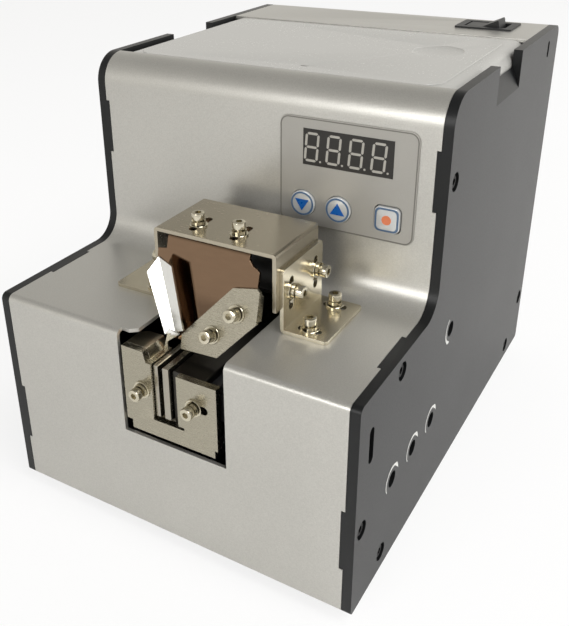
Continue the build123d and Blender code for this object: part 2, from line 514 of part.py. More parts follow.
def stopper():
    """Front plate that ends the rail: tall left half, notch for the bars, slit at the notch's foot."""
    shape = polygon((STOP_X0, STOP_Z0 + 3), (STOP_X0, STOP_ZL), (BLOCK_L - 2.6, STOP_ZL), (BLOCK_L - 1.7, STOP_ZM),
                    (BLOCK_L, STOP_ZM), (BLOCK_L, NOTCH_Z), (NOTCH_R, NOTCH_Z), (NOTCH_R, STOP_ZR), (STOP_X1, STOP_ZR),
                    (STOP_X1, STOP_Z0 + 2.6), (STOP_X1 - 1.0, STOP_Z0 + 2.6), (STOP_X1 - 1.0, STOP_Z0),
                    (STOP_X0 + 2.0, STOP_Z0), (STOP_X0 + 2.0, STOP_Z0 + 3))
    plate = along(shape, 0, STOP_T)
    plate -= block(BLOCK_L - 0.1, NOTCH_R + 2.1, -1, STOP_T + 1, NOTCH_Z - 0.9, NOTCH_Z)
    for x, z in STOP_SCREWS:
        reach = 3.4 if x > 0 else 0
        plate -= along(slot_face(x, z, x + reach + 0.01, z, SLOT_HALF), -1, STOP_T + 1)
    return plate


def left_track_block():
    """Fixed block left of the rail, tall at the back of the front plate."""
    shape = polygon((STOP_X0, BLOCK_BOTTOM), (STOP_X0, STOP_ZL), (BLOCK_L - 2.6, STOP_ZL), (BLOCK_L - 1.7, STOP_ZM),
                    (BLOCK_L, STOP_ZM), (BLOCK_L, BLOCK_BOTTOM))
    back = STOP_T + 8.4
    body = along(shape, STOP_T, back)
    body -= upright(polygon((STOP_X0 - 1, back - 2.6), (STOP_X0 + 3, back + 0.4), (STOP_X0 - 1, back + 0.4)),
                    BLOCK_BOTTOM - 1, STOP_ZL + 1)
    x, z = STOP_SCREWS[0]
    return body - rod_y(SCREW_HOLE, 0, STOP_T + 6, x, z)


def right_track_block():
    """Fixed block right of the rail; its top is the deck under the gate plate."""
    shape = polygon((BLOCK_R, BLOCK_BOTTOM), (BLOCK_R, STOP_ZR - 0.2), (BLOCK_R1, STOP_ZR - 0.2),
                    (BLOCK_R1, BLOCK_BOTTOM))
    body = along(shape, STOP_T, 40.0)
    body = chamfer(body.edges().filter_by(Axis.Y).group_by(Axis.Z)[-1], 0.4)
    x, z = STOP_SCREWS[1]
    return body - rod_y(SCREW_HOLE, 0, STOP_T + 6, x, z)


def track_stand(side):
    """Folded bracket that carries a track block from the base plate."""
    t = 2.0
    if side < 0:
        x_out, y0, y1 = STOP_X0, STOP_T + 0.8, STOP_T + 5.6
    else:
        x_out, y0, y1 = BLOCK_R1 + 2.0, STOP_T + 0.8, 38.0
    s, x_in = side, side * (LEAF_HALF + 0.8)
    shape = polygon((x_in, BLOCK_BOTTOM), (x_out, BLOCK_BOTTOM), (x_out, SHEET_T + t), (x_out + s * 9, SHEET_T + t),
                    (x_out + s * 9, SHEET_T), (x_out - s * t, SHEET_T), (x_out - s * t, BLOCK_BOTTOM - t),
                    (x_in, BLOCK_BOTTOM - t))
    return along(shape, y0, y1)


def rail_bar(side):
    """One hardened bar of the slotted rail, its upper inner edge chamfered for the screw heads."""
    x0, x1 = (BAR_L0, RAIL_X - SLOT_W / 2) if side < 0 else (RAIL_X + SLOT_W / 2, BAR_R1)
    inner = x1 if side < 0 else x0
    c = 0.35
    if side < 0:
        shape = polygon((x0, RAIL_BOTTOM), (x0, RAIL_TOP), (inner - c, RAIL_TOP), (inner, RAIL_TOP - c),
                        (inner, RAIL_BOTTOM))
    else:
        shape = polygon((inner, RAIL_BOTTOM), (inner, RAIL_TOP - c), (inner + c, RAIL_TOP), (x1, RAIL_TOP),
                        (x1, RAIL_BOTTOM))
    return along(shape, RAIL_Y0, RAIL_Y1)


CARRIER_Y0, CARRIER_Y1, CARRIER_Z0 = 6.0, FACE_Y + 10.2, RAIL_BOTTOM - 6.5
LEAVES_Y, LEAF_T, LEAF_HALF = (12.0, FACE_Y + 2.2), 0.8, 4.2
PAD_Z0 = CARRIER_Z0 - 7.5
ARMATURE_Y = 46.0
ARMATURE_HALF, ARMATURE_Z0, ARMATURE_Z1, ARMATURE_T = 8.0, 8.0, 27.0, 3.0


def rail_carrier():
    """Bar under the rail: a tongue that keeps the slot's width, and a clamp for each leaf spring."""
    half_slot = SLOT_W / 2
    shape = polygon((BAR_L0, CARRIER_Z0), (BAR_L0, RAIL_BOTTOM), (RAIL_X - half_slot, RAIL_BOTTOM),
                    (RAIL_X - half_slot, RAIL_BOTTOM + 6), (RAIL_X + half_slot, RAIL_BOTTOM + 6),
                    (RAIL_X + half_slot, RAIL_BOTTOM), (BAR_R1, RAIL_BOTTOM), (BAR_R1, CARRIER_Z0))
    body = along(shape, CARRIER_Y0, CARRIER_Y1)
    for y in LEAVES_Y:
        pad = y + LEAF_T + RAIL_STROKE + 0.1
        body += block(BAR_L0, BAR_R1, pad, pad + 4, PAD_Z0, CARRIER_Z0)
    return body


def armature():
    """Soft-iron plate that the magnet pulls."""
    w, z0, z1 = ARMATURE_HALF, ARMATURE_Z0, ARMATURE_Z1
    shape = polygon((-w, z0), (w, z0), (w, z1), (BAR_R1, z1 + 4), (BAR_R1, CARRIER_Z0), (BAR_L0, CARRIER_Z0),
                    (BAR_L0, z1 + 4), (-w, z1))
    return along(shape, ARMATURE_Y, ARMATURE_Y + ARMATURE_T)


def leaf_spring(y):
    return block(-LEAF_HALF, LEAF_HALF, y, y + LEAF_T, SHEET_T + 1, CARRIER_Z0 - 1.5)


def spring_clamp(y):
    """Split block on the base plate that holds a leaf spring's foot."""
    shape = polygon((y - 5, SHEET_T), (y - 5, 7), (y - 3, 9), (y, 9), (y, SHEET_T + 1), (y + LEAF_T, SHEET_T + 1),
                    (y + LEAF_T, 9), (y + LEAF_T + 3, 9), (y + LEAF_T + 5, 7), (y + LEAF_T + 5, SHEET_T))
    return across(shape, -LEAF_HALF - 1.5, LEAF_HALF + 1.5)


CORE_Y0, CORE_Y1, CORE_HALF = 24.0, ARMATURE_Y - 0.9, 8.0
CORE_LEG, CORE_GAP, LEG_MIDDLE = 4.0, 5.0, 6.0          # outer legs, gaps and middle leg
COIL_HALF, COIL_IN, COIL_OUT = 12.0, 0.6, 1.5


def magnet_core():
    """E-shaped stack of laminations, open towards the armature."""
    y0, y1, back = CORE_Y0, CORE_Y1, CORE_Y0 + 5.0
    levels = [SHEET_T]
    for step in (CORE_LEG, CORE_GAP, LEG_MIDDLE, CORE_GAP, CORE_LEG):
        levels.append(levels[-1] + step)
    z = levels
    shape = polygon((y0, z[0]), (y1, z[0]), (y1, z[1]), (back, z[1]), (back, z[2]), (y1, z[2]), (y1, z[3]), (back, z[3]),
                    (back, z[4]), (y1, z[4]), (y1, z[5]), (y0, z[5]))
    return across(shape, -CORE_HALF, CORE_HALF)


def magnet_coil():
    """Bobbin and winding on the core's middle leg."""
    z0 = SHEET_T + CORE_LEG
    z1 = z0 + 2 * CORE_GAP + LEG_MIDDLE
    y0, y1 = CORE_Y0 + 5.0 + COIL_IN, CORE_Y1 - COIL_OUT
    body = block(-COIL_HALF, COIL_HALF, y0, y1, z0 + FIT, z1 - FIT)
    body = fillet(body.edges().filter_by(Axis.Y), 2.0)
    hole_z = z0 + CORE_GAP - 0.1
    return body - block(-CORE_HALF - 0.1, CORE_HALF + 0.1, y0 - 1, y1 + 1, hole_z, hole_z + LEG_MIDDLE + 0.2)


# ---------------------------------------------------------------- hopper and drum
HOP_Y0, HOP_MOUTH, HOP_Y1 = LID_Y0 + HOP_FRONT, DRUM_Y0 - 0.6, LID_BACK - 1.0
HOP_HALF = INNER - HOP_SIDE


def hopper_core(inset, top):
    """Solid of the bin, moved inwards by inset: sloping cheeks and a deck that falls to the mouth."""
    i, half, floor = inset, HOP_HALF - inset, HOP_FLOOR - inset * 0.4
    knee, low, mouth = AXIS_Z + HOP_KNEE + i * 0.4, AXIS_Z - HOP_LOW + i, AXIS_Z + HOP_MOUTH_UP + i * 1.1
    cheeks = polygon((-half, top), (-half, knee), (-floor, low), (floor, low), (half, knee), (half, top))
    under = AXIS_Z - HOP_LOW - 1
    deck = polygon((HOP_Y0 + i, under), (HOP_MOUTH - i, under), (HOP_MOUTH - i, mouth), (HOP_Y1 - i * 1.1, LEDGE_Z + i * 0.3),
                   (HOP_Y1 - i * 1.1, top), (HOP_Y0 + i, top))
    return along(cheeks, HOP_Y0 - 1, HOP_Y1 + 1) & across(deck, -HALF, HALF)


def hopper():
    """Screw bin of bent sheet with a rim that lies on the side plates' ledges."""
    rim_x, rim_z = INNER - 3.0, LEDGE_Z + HOP_T
    rim = block(-rim_x, rim_x, LID_Y0 + 1.5, LID_BACK - 0.5, LEDGE_Z, rim_z)
    body = hopper_core(0, LEDGE_Z + 0.5) + rim
    body -= hopper_core(HOP_T, rim_z + 1)
    body -= rod_y(DRUM_R - DRUM_WALL - 0.6, HOP_MOUTH - HOP_T - 0.5, HOP_MOUTH + 0.5, 0, AXIS_Z)
    body -= block(BAR_L0 - 0.8, BAR_R1 + 0.8, HOP_Y0 - 1, HOP_Y0 + HOP_T + 1, RAIL_BOTTOM - 1, RAIL_TOP + 5)
    body -= rod_y(BRUSH_SHAFT_R + 1.0, HOP_MOUTH - 1, GEAR_Y, 0, BRUSH_Z)
    return body


def drum():
    """Scoop drum: an open cup whose inner vanes lift the screws and drop them on the rail."""
    shell = rod_y(DRUM_R, DRUM_Y0, DRUM_Y1, 0, AXIS_Z) - rod_y(DRUM_R - DRUM_WALL, DRUM_Y0 - 1, DRUM_Y1 - 2, 0, AXIS_Z)
    vane = polygon((-VANE_T / 2, VANE_IN), (VANE_T / 2, VANE_IN), (VANE_T / 2 + 2.2, DRUM_R - 1.6),
                   (-VANE_T / 2, DRUM_R - 1.6))
    one = along(vane, DRUM_Y0 + 0.6, DRUM_Y1 - 1)
    for turn in range(VANES):
        shell += Pos(0, 0, AXIS_Z) * (Rot(0, (turn + 0.5) * 360 / VANES, 0) * one)
    hub = rod_y(SHAFT_R + 3, DRUM_Y1 - 1, DRUM_Y1 + 0.9, 0, AXIS_Z)
    return shell + hub - rod_y(SHAFT_R + 0.02, DRUM_Y1 - 3, DRUM_Y1 + 2, 0, AXIS_Z)


BOSS_Y1 = DRUM_Y1 + BOSS_L
SHAFT_Y0, SHAFT_Y1 = DRUM_Y1 - 1.5, BOSS_Y1 + SHAFT_OUT


def drum_shaft():
    """Stepped shaft with a rear retaining collar turned on it."""
    body = rod_y(SHAFT_R, SHAFT_Y0, SHAFT_Y1, 0, AXIS_Z)
    return body + rod_y(SHAFT_R + 1.8, BOSS_Y1 + 1.6, BOSS_Y1 + 3.2, 0, AXIS_Z)


def drum_bush(y0, y1, flange_first):
    """Flanged bronze bush of the drum shaft."""
    body = rod_y(6.0, y0, y1, 0, AXIS_Z)
    body += rod_y(7.5, y0 - 1.2, y0, 0, AXIS_Z) if flange_first else rod_y(7.5, y1, y1 + 1.2, 0, AXIS_Z)
    return body - rod_y(SHAFT_R + RUN, y0 - 3, y1 + 3, 0, AXIS_Z)


def polar(radius, angle, x=0.0, z=AXIS_Z):
    """A point at an angle from straight up, positive to the right."""
    return x + radius * sin(radians(angle)), z + radius * cos(radians(angle))


PINION_X, PINION_Z = polar(MODULE * (DRUM_TEETH + PINION_TEETH) / 2, PINION_AT)
CRANK_X, CRANK_Z = polar(MODULE * (DRUM_TEETH + CRANK_TEETH) / 2, CRANK_AT)


def gear_face(teeth, phase):
    """Spur gear face in x and z about the origin; phase turns a tooth's middle off straight up."""
    pitch = MODULE * teeth / 2
    base, tip, root = pitch * cos(radians(20)), pitch + MODULE * 0.95, pitch - MODULE * 1.2
    half = pi / (2 * teeth) - BACKLASH / (2 * pitch)

    def involute(radius):
        if radius <= base:
            return 0.0
        t = sqrt((radius / base) ** 2 - 1)
        return t - atan2(t, 1)

    at_pitch = involute(pitch)
    flank = [root, max(base, root + 0.05), (max(base, root) + tip) / 2, tip]
    points = []
    for tooth in range(teeth):
        middle = radians(phase) + 2 * pi * tooth / teeth
        left = [(r, middle - half - at_pitch + involute(r)) for r in flank]
        right = [(r, middle + half + at_pitch - involute(r)) for r in reversed(flank)]
        points += [(r * sin(a), r * cos(a)) for r, a in left + right]
    return polygon(*points)


def gear(teeth, x, z, phase, bore):
    body = Pos(x, 0, z) * along(gear_face(teeth, phase), GEAR_Y, GEAR_Y + GEAR_W)
    return body - rod_y(bore, GEAR_Y - 1, GEAR_Y + GEAR_W + 1, x, z)


def mesh_phase(teeth, direction):
    """Phase that puts a gap of this gear on the line back to the drum's axis."""
    drum_offset = direction * DRUM_TEETH / 360.0
    shift = (drum_offset - round(drum_offset)) * 360.0 / teeth
    return direction + 180 + 180.0 / teeth + shift


def drum_gear():
    body = gear(DRUM_TEETH, 0, AXIS_Z, 0, SHAFT_R + 0.02)
    hub = rod_y(SHAFT_R + 4, DRUM_Y1 + 0.9, GEAR_Y + 0.5, 0, AXIS_Z)
    body += hub - rod_y(SHAFT_R + 0.02, DRUM_Y1, GEAR_Y + 1, 0, AXIS_Z)
    for turn in range(6):
        x, z = polar(15.0, turn * 60 + 30)
        body -= rod_y(4.2, GEAR_Y - 1, GEAR_Y + GEAR_W + 1, x, z)
    return body


def pinion():
    body = gear(PINION_TEETH, PINION_X, PINION_Z, mesh_phase(PINION_TEETH, PINION_AT), 1.0)
    return body + rod_y(2.0, GEAR_Y - 0.6, FRAME_Y + FRAME_T + 3.0, PINION_X, PINION_Z)


def crank_gear():
    """Gear with an eccentric pin that rocks the brush lever."""
    body = gear(CRANK_TEETH, CRANK_X, CRANK_Z, mesh_phase(CRANK_TEETH, CRANK_AT), 2.0 + RUN)
    pin_x, pin_z = polar(CRANK_THROW, LEVER_AT, CRANK_X, CRANK_Z)
    return body + rod_y(CRANK_PIN_R, LEVER_Y1 + 0.4, GEAR_Y + 0.5, pin_x, pin_z)


def gear_frame():
    """Bent steel frame that carries the drum shaft, the brush shaft and the motor, with a riveted
    stud for the crank gear."""
    top, left, right = BRUSH_Z + 9, -FRAME_LEFT, FRAME_RIGHT
    shape = polygon((left, SHEET_T), (left, AXIS_Z + 14), (-14, top), (14, top), (right, AXIS_Z + 28), (right, SHEET_T))
    wall = along(shape, FRAME_Y, FRAME_Y + FRAME_T)
    foot = block(left, right, FRAME_Y + FRAME_T - 0.01, FRAME_Y + FRAME_FOOT, SHEET_T, SHEET_T + FRAME_T)
    body = wall + foot + rod_y(9.5, FRAME_Y + FRAME_T - 0.01, BOSS_Y1, 0, AXIS_Z)
    body -= rod_y(6.02, FRAME_Y - 1, BOSS_Y1 + 1, 0, AXIS_Z)
    body -= rod_y(4.5, FRAME_Y - 1, FRAME_Y + FRAME_T + 1, PINION_X, PINION_Z)
    body -= rod_y(4.02, FRAME_Y - 1, FRAME_Y + FRAME_T + 1, 0, BRUSH_Z)
    for turn in (0, 180):
        x, z = polar(8.5, turn + PINION_AT, PINION_X, PINION_Z)
        body -= rod_y(PAN_HOLE, FRAME_Y - 1, FRAME_Y + FRAME_T + 1, x, z)
    window = rounded(left + 8, right - 8, 12, AXIS_Z - 22, 5)
    body -= along(window, FRAME_Y - 1, FRAME_Y + FRAME_T + 1)
    stud = rod_y(2.0, GEAR_Y - 0.6, FRAME_Y + FRAME_T + 0.6, CRANK_X, CRANK_Z)
    return body + stud + rod_y(3.4, GEAR_Y + GEAR_W + 0.3, FRAME_Y, CRANK_X, CRANK_Z)


LEVER_Y0, LEVER_Y1 = DRUM_Y1 + 1.3, DRUM_Y1 + 3.3
LEVER_AT = degrees(atan2(CRANK_X, CRANK_Z - BRUSH_Z))
LEVER_REACH = sqrt(CRANK_X ** 2 + (CRANK_Z - BRUSH_Z) ** 2)


def brush_bush():
    body = rod_y(4.0, FRAME_Y - 6.0, FRAME_Y + FRAME_T + 2, 0, BRUSH_Z)
    body += rod_y(5.4, FRAME_Y - 1.2, FRAME_Y, 0, BRUSH_Z)
    return body - rod_y(BRUSH_SHAFT_R + RUN, FRAME_Y - 8, FRAME_Y + FRAME_T + 4, 0, BRUSH_Z)


def brush_shaft():
    body = rod_y(BRUSH_SHAFT_R, BRUSH_Y0 - 1, FRAME_Y + FRAME_T + 5, 0, BRUSH_Z)
    return body + rod_y(BRUSH_SHAFT_R + 1.4, FRAME_Y + FRAME_T + 2.4, FRAME_Y + FRAME_T + 4, 0, BRUSH_Z)


def brush_lever():
    """Forked lever on the brush shaft; the crank pin runs in its slot."""
    ux, uz = sin(radians(LEVER_AT)), cos(radians(LEVER_AT))
    far = LEVER_REACH + CRANK_THROW + 2.4
    near = LEVER_REACH - CRANK_THROW - 0.8
    arm = slot_face(0, BRUSH_Z, ux * far, BRUSH_Z + uz * far, 4.2)
    slot = slot_face(ux * near, BRUSH_Z + uz * near, ux * (far - 1.2), BRUSH_Z + uz * (far - 1.2), CRANK_PIN_R + 0.15)
    return along(arm - slot - Pos(0, BRUSH_Z) * Circle(BRUSH_SHAFT_R + 0.02), LEVER_Y0, LEVER_Y1)


def brush_arm():
    """Arm and channel that hold the bristles."""
    shape = polygon((-4, BRUSH_Z - 24), (-2.6, BRUSH_Z), (2.6, BRUSH_Z), (4, BRUSH_Z - 24), (7, BRUSH_Z - 26),
                    (7, BRUSH_Z - 31), (-7, BRUSH_Z - 31), (-7, BRUSH_Z - 26))
    body = along(shape, BRUSH_Y0 + 2.5, BRUSH_Y1 - 2.5) + rod_y(4.5, BRUSH_Y0 + 0.5, BRUSH_Y1 - 0.5, 0, BRUSH_Z)
    body += block(-7, 7, BRUSH_Y0, BRUSH_Y1, BRUSH_Z - 31, BRUSH_Z - 27)
    return body - rod_y(BRUSH_SHAFT_R + 0.02, BRUSH_Y0 - 1, BRUSH_Y1 + 1, 0, BRUSH_Z)


def brush_bristles():
    """Tuft block trimmed to an arc about the brush shaft."""
    tuft = block(-5.5, 5.5, BRUSH_Y0 + 1, BRUSH_Y1 - 1, BRUSH_Z - BRUSH_R - 1, BRUSH_Z - 31)
    return tuft & rod_y(BRUSH_R, BRUSH_Y0, BRUSH_Y1, 0, BRUSH_Z)


def motor_parts():
    """Gearhead against the frame and the motor behind it."""
    y0 = FRAME_Y + FRAME_T
    head = rod_y(MOTOR_R, y0, y0 + HEAD_L, PINION_X, PINION_Z) + rod_y(4.3, FRAME_Y + 0.5, y0, PINION_X, PINION_Z)
    head -= rod_y(2.0 + RUN, FRAME_Y, y0 + 3.2, PINION_X, PINION_Z)
    for turn in (0, 180):
        x, z = polar(8.5, turn + PINION_AT, PINION_X, PINION_Z)
        head -= rod_y(PAN_HOLE, y0 - 1, y0 + 4, x, z)
    can = rod_y(MOTOR_R - 0.8, y0 + HEAD_L, y0 + MOTOR_L - 2, PINION_X, PINION_Z)
    can += rod_y(4.0, y0 + MOTOR_L - 2, y0 + MOTOR_L, PINION_X, PINION_Z)
    return head, can


def motor_screws():
    places = [polar(8.5, turn + PINION_AT, PINION_X, PINION_Z) for turn in (0, 180)]
    return [Pos(x, FRAME_Y, z) * Rot(90, 0, 0) * sunk_screw(FRAME_T + 3) for x, z in places]


# ---------------------------------------------------------------- lid
def lid():
    """Frosted moulded lid: rounded long edges, side skirts, a raised middle with round corners, a
    finger dimple and a locating slit."""
    w, low, border = COVER_X - 0.2, CASE_H - LID_SKIRT, CASE_H - LID_STEP
    y0, y1 = LID_Y0 + 0.1, LID_BACK - FIT
    body = along(polygon((-w, low), (-w, border), (w, border), (w, low)), y0, y1)
    body = fillet(body.edges().filter_by(Axis.Y).group_by(Axis.Z)[-1], LID_R)
    raised = upright(rounded(LID_BORDER - w, w - LID_BORDER, y0, y1 - LID_BORDER * 0.6, LID_CORNER), border - 0.1, CASE_H)
    body += chamfer(raised.edges().group_by(Axis.Z)[-1], LID_STEP * 0.7)
    inner = polygon((-w + LID_T, low - 1), (-w + LID_T, CASE_H - LID_T), (w - LID_T, CASE_H - LID_T), (w - LID_T, low - 1))
    hollow = along(inner, LID_Y0 - 1, LID_BACK + 1)
    body -= fillet(hollow.edges().filter_by(Axis.Y).group_by(Axis.Z)[-1], LID_R - LID_T)
    dimple = scale(Sphere(1.0), by=(DIMPLE_RX, DIMPLE_RY, DIMPLE_DEPTH))
    body -= Pos(DIMPLE_X, LID_BACK - DIMPLE_BACK, CASE_H) * dimple
    slit_y = LID_Y0 + SLIT_IN
    return body - block(SLIT_X0, SLIT_X1, slit_y, slit_y + SLIT_W, CASE_H - LID_T - 1, CASE_H + 1)


# ---------------------------------------------------------------- panel, buttons and boards
def button_hole(x, extra):
    if x == SET_X:
        return Pos(x, BUTTON_Z) * RectangleRounded(SET_W + 2 * extra, SET_W + 2 * extra, SET_R + extra)
    return Pos(x, BUTTON_Z) * Circle(BUTTON_R + extra)


def overlay():
    """Front film of the counter panel, with the display window and the button holes."""
    face = rounded(PANEL_X0, PANEL_X1, PANEL_Z0, PANEL_Z1, PANEL_R)
    for x in (DOWN_X, UP_X, SET_X):
        face -= button_hole(x, 0.25)
    return along(face, FACE_Y - PANEL_T, FACE_Y)



def button(x):
    """Domed button cap with a retaining flange behind the cover."""
    y0 = FACE_Y - PANEL_T - BUTTON_PROUD
    cap = along(button_hole(x, 0), y0, FACE_Y + SHEET_T + 1.4)
    cap = chamfer(cap.faces().sort_by(Axis.Y)[0].edges(), 0.5)
    flange = along(button_hole(x, 0.9), FACE_Y + SHEET_T + 0.1, FACE_Y + SHEET_T + 1.4)
    stem = rod_y(1.5, FACE_Y + SHEET_T + 1.3, COUNTER_Y - 3.5 - BUTTON_TRAVEL - 0.1, x, BUTTON_Z)
    return cap + flange + stem


def tact_switch(x):
    """Push switch on the counter board behind a button."""
    return block(x - 3, x + 3, COUNTER_Y - 2.8, COUNTER_Y, BUTTON_Z - 3, BUTTON_Z + 3) + rod_y(
        1.7, COUNTER_Y - 3.5, COUNTER_Y - 2.7, x, BUTTON_Z)


def counter_board():
    face = rounded(PANEL_X0 + 2, PANEL_X1 - 1, PANEL_Z0 + 1, PANEL_Z1 - 1, 1.5)
    body = along(face, COUNTER_Y, COUNTER_Y + 1.6)
    for x, z in COUNTER_POSTS:
        body -= rod_y(1.2, COUNTER_Y - 1, COUNTER_Y + 3, x, z)
    return body


def display_module():
    """Four-digit display behind the window."""
    return block(WINDOW_X0 + 0.2, WINDOW_X1 - 0.2, FACE_Y, COUNTER_Y, WINDOW_Z0 + 0.2, WINDOW_Z1 - 0.2)


def control_board():
    face = rounded(BOARD_Y0, BOARD_Y1, BOARD_Z0, BOARD_Z1, 2.0)
    body = across(face, BOARD_X, BOARD_X + BOARD_T)
    for y, z in BOARD_POSTS:
        body -= rod_x(1.6, BOARD_X - 1, BOARD_X + BOARD_T + 1, y, z)
    return body


TRIM_BODY_X = BOARD_X + BOARD_T + TRIMMER_L


def trimmer_body(y, z):
    half = TRIMMER_W / 2
    body = block(BOARD_X + BOARD_T, TRIM_BODY_X, y - half, y + half, z - half, z + half)
    return body - rod_x(1.5 + RUN, TRIM_BODY_X - 2, TRIM_BODY_X + 1, y, z)


def trimmer_rotor(y, z):
    """Slotted adjuster that a small screwdriver reaches through the side plate."""
    body = rod_x(1.5, TRIM_BODY_X - 1.8, TRIM_BODY_X + 0.4, y, z)
    body += rod_x(2.3, TRIM_BODY_X + 0.3, TRIM_BODY_X + 2.6, y, z)
    return body - block(TRIM_BODY_X + 1.6, TRIM_BODY_X + 3, y - 3, y + 3, z - 0.4, z + 0.4)


def switch_housing():
    """Snap-in frame and body of the power switch."""
    def ring(in_x, in_y, r):
        return rounded(SWITCH_X0 + in_x, SWITCH_X1 - in_x, SWITCH_Y0 + in_y, SWITCH_Y1 - in_y, r)

    bezel = upright(ring(0, 0, 0.8), CASE_H, CASE_H + SWITCH_PROUD)
    body = upright(ring(SWITCH_BODY, SWITCH_BODY, 0.6), CASE_H - SWITCH_DEEP, CASE_H + SWITCH_PROUD / 2)
    shell = bezel + body - upright(ring(SWITCH_RIM_X, SWITCH_RIM_Y, 0.4), CASE_H - SWITCH_WELL, CASE_H + 2)
    y = (SWITCH_Y0 + SWITCH_Y1) / 2
    for x in (ROCK_X - 5, ROCK_X, ROCK_X + 5):
        shell += block(x - 0.4, x + 0.4, y - 2.4, y + 2.4, CASE_H - SWITCH_DEEP - 7, CASE_H - SWITCH_DEEP + 0.1)
    return shell


ROCK_X = (SWITCH_X0 + SWITCH_X1) / 2
ROCK_Z = CASE_H - ROCKER_DROP


def power_rocker():
    """Rocker key: two faces that meet in a shallow vee, resting with its right end up and its left
    face flush with the frame."""
    half = SWITCH_L / 2 - SWITCH_RIM_X - ROCKER_END
    y0, y1 = SWITCH_Y0 + SWITCH_RIM_Y + 0.3, SWITCH_Y1 - SWITCH_RIM_Y - 0.3
    top = ROCKER_DROP + SWITCH_PROUD
    wing = top + half * tan(radians(ROCKER_TILT))
    shape = polygon((-half, wing), (0, top), (half, wing), (half, 0.3), (2.0, -2.6), (-2.0, -2.6), (-half, 0.3))
    return Pos(ROCK_X, 0, ROCK_Z) * (Rot(0, -ROCKER_TILT, 0) * along(shape, y0, y1))


def dc_jack():
    """Power inlet with its ring nut on the outside of the rear cover."""
    y0 = CASE_D - 12
    body = rod_y(4.8, y0, CASE_D + 1.6, JACK_X, JACK_Z) + rod_y(6.6, CASE_D, CASE_D + 1.8, JACK_X, JACK_Z)
    body += rod_y(6.2, CASE_D - SHEET_T - 1.6, CASE_D - SHEET_T, JACK_X, JACK_Z)
    body += rod_y(4.6, CASE_D + 1.7, Y_HIGH, JACK_X, JACK_Z)
    body -= rod_y(3.0, CASE_D - 9, Y_HIGH + 1, JACK_X, JACK_Z)
    return body + rod_y(1.0, CASE_D - 9.5, CASE_D - 0.5, JACK_X, JACK_Z)


def pickup_sensor():
    """Light sensor beside the end of the rail, bolted to the right-hand track block."""
    z0, z1 = STOP_ZR - 13.3, STOP_ZR - 2.3
    shape = polygon((BLOCK_R1, z0), (BLOCK_R1, z1), (BLOCK_R1 + 3, z1), (BLOCK_R1 + 5, z1 - 2), (BLOCK_R1 + 5, z0))
    return along(shape, STOP_T + 1.5, STOP_T + 9)


# ---------------------------------------------------------------- write every node
save("left_side_plate", side_plate(-1))
save("right_side_plate", side_plate(1))
save("front_cover", front_cover())
save("rear_cover", rear_cover())
save("base_plate", base_plate())
save("rubber_feet", *[rubber_foot(x, y) for x, y in foot_places()])
save("pan_head_screws", *(side_screws(-1) + side_screws(1) + motor_screws()))
save("lid", lid())

save("hood", hood())
save("left_hood_bracket", bracket(-1))
save("right_hood_bracket", bracket(1))
save("guard_plate", guard())
save("gate_plate", gate())
save("bit_guide", bit_guide())
save("hood_screws", *[Pos(x, TOP_SCREW_Y, HOOD_TOP) * capped_screw(3.4) for x in TOP_SLOTS_X])
leaf_screws = [Pos(HOOD_X1 + HOOD_T, y, LEAF_SCREW_Z) * Rot(0, 90, 0) * capped_screw(4) for y in LEAF_SLOTS_Y]
leaf_screws += [Pos(HOOD_X0 - HOOD_T, y, LEAF_SCREW_Z) * Rot(0, -90, 0) * capped_screw(4) for y in LEAF_SLOTS_Y]
foot_screws = [Pos(foot_screw_x(side), y, LOW_H + HOOD_T) * capped_screw(4) for side in (-1, 1) for y in FOOT_SCREWS_Y]
save("bracket_screws", *(leaf_screws + foot_screws))
save("gate_screws", *[place * capped_screw(GATE_T + GUARD_T + 0.6) for place in gate_screw_places()])

save("stopper_plate", stopper())
save("stopper_screws", *[Pos(x, 0, z) * Rot(90, 0, 0) * capped_screw(6) for x, z in STOP_SCREWS])
save("left_track_block", left_track_block())
save("right_track_block", right_track_block())
save("track_stands", track_stand(-1), track_stand(1))
save("pickup_sensor", pickup_sensor())
save("rail_bar_left", rail_bar(-1))
save("rail_bar_right", rail_bar(1))
save("rail_carrier", rail_carrier())
save("armature", armature())
save("leaf_springs", *[leaf_spring(y) for y in LEAVES_Y])
save("spring_clamps", *[spring_clamp(y) for y in LEAVES_Y])
save("magnet_core", magnet_core())
save("magnet_coil", magnet_coil())

save("hopper", hopper())
save("scoop_drum", drum())
save("drum_shaft", drum_shaft())
save("drum_gear", drum_gear())
save("shaft_bushes", drum_bush(FRAME_Y, FRAME_Y + 5, True), drum_bush(BOSS_Y1 - 5, BOSS_Y1, False), brush_bush())
save("gear_frame", gear_frame())
save("gear_motor", *motor_parts())
save("motor_pinion", pinion())
save("crank_gear", crank_gear())
save("brush_shaft", brush_shaft())
save("brush_lever", brush_lever())
save("brush_arm", brush_arm())
save("brush_bristles", brush_bristles())

save("panel_overlay", overlay())
for node, x in (("down_button", DOWN_X), ("up_button", UP_X), ("set_button", SET_X)):
    save(node, button(x))
save("button_switches", *[tact_switch(x) for x in (DOWN_X, UP_X, SET_X)])
save("counter_board", counter_board())
save("display_module", display_module())
save("control_board", control_board())
save("trimmer_bodies", *[trimmer_body(y, z) for y, z in TRIMMERS])
for number, (y, z) in enumerate(TRIMMERS, 1):
    save(f"trimmer_rotor_{number}", trimmer_rotor(y, z))
save("switch_housing", switch_housing())
save("power_rocker", power_rocker())
save("dc_jack", dc_jack())
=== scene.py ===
from math import atan2, cos, pi, radians, sin, tan

import bmesh
import bpy
from mathutils import Matrix, Vector


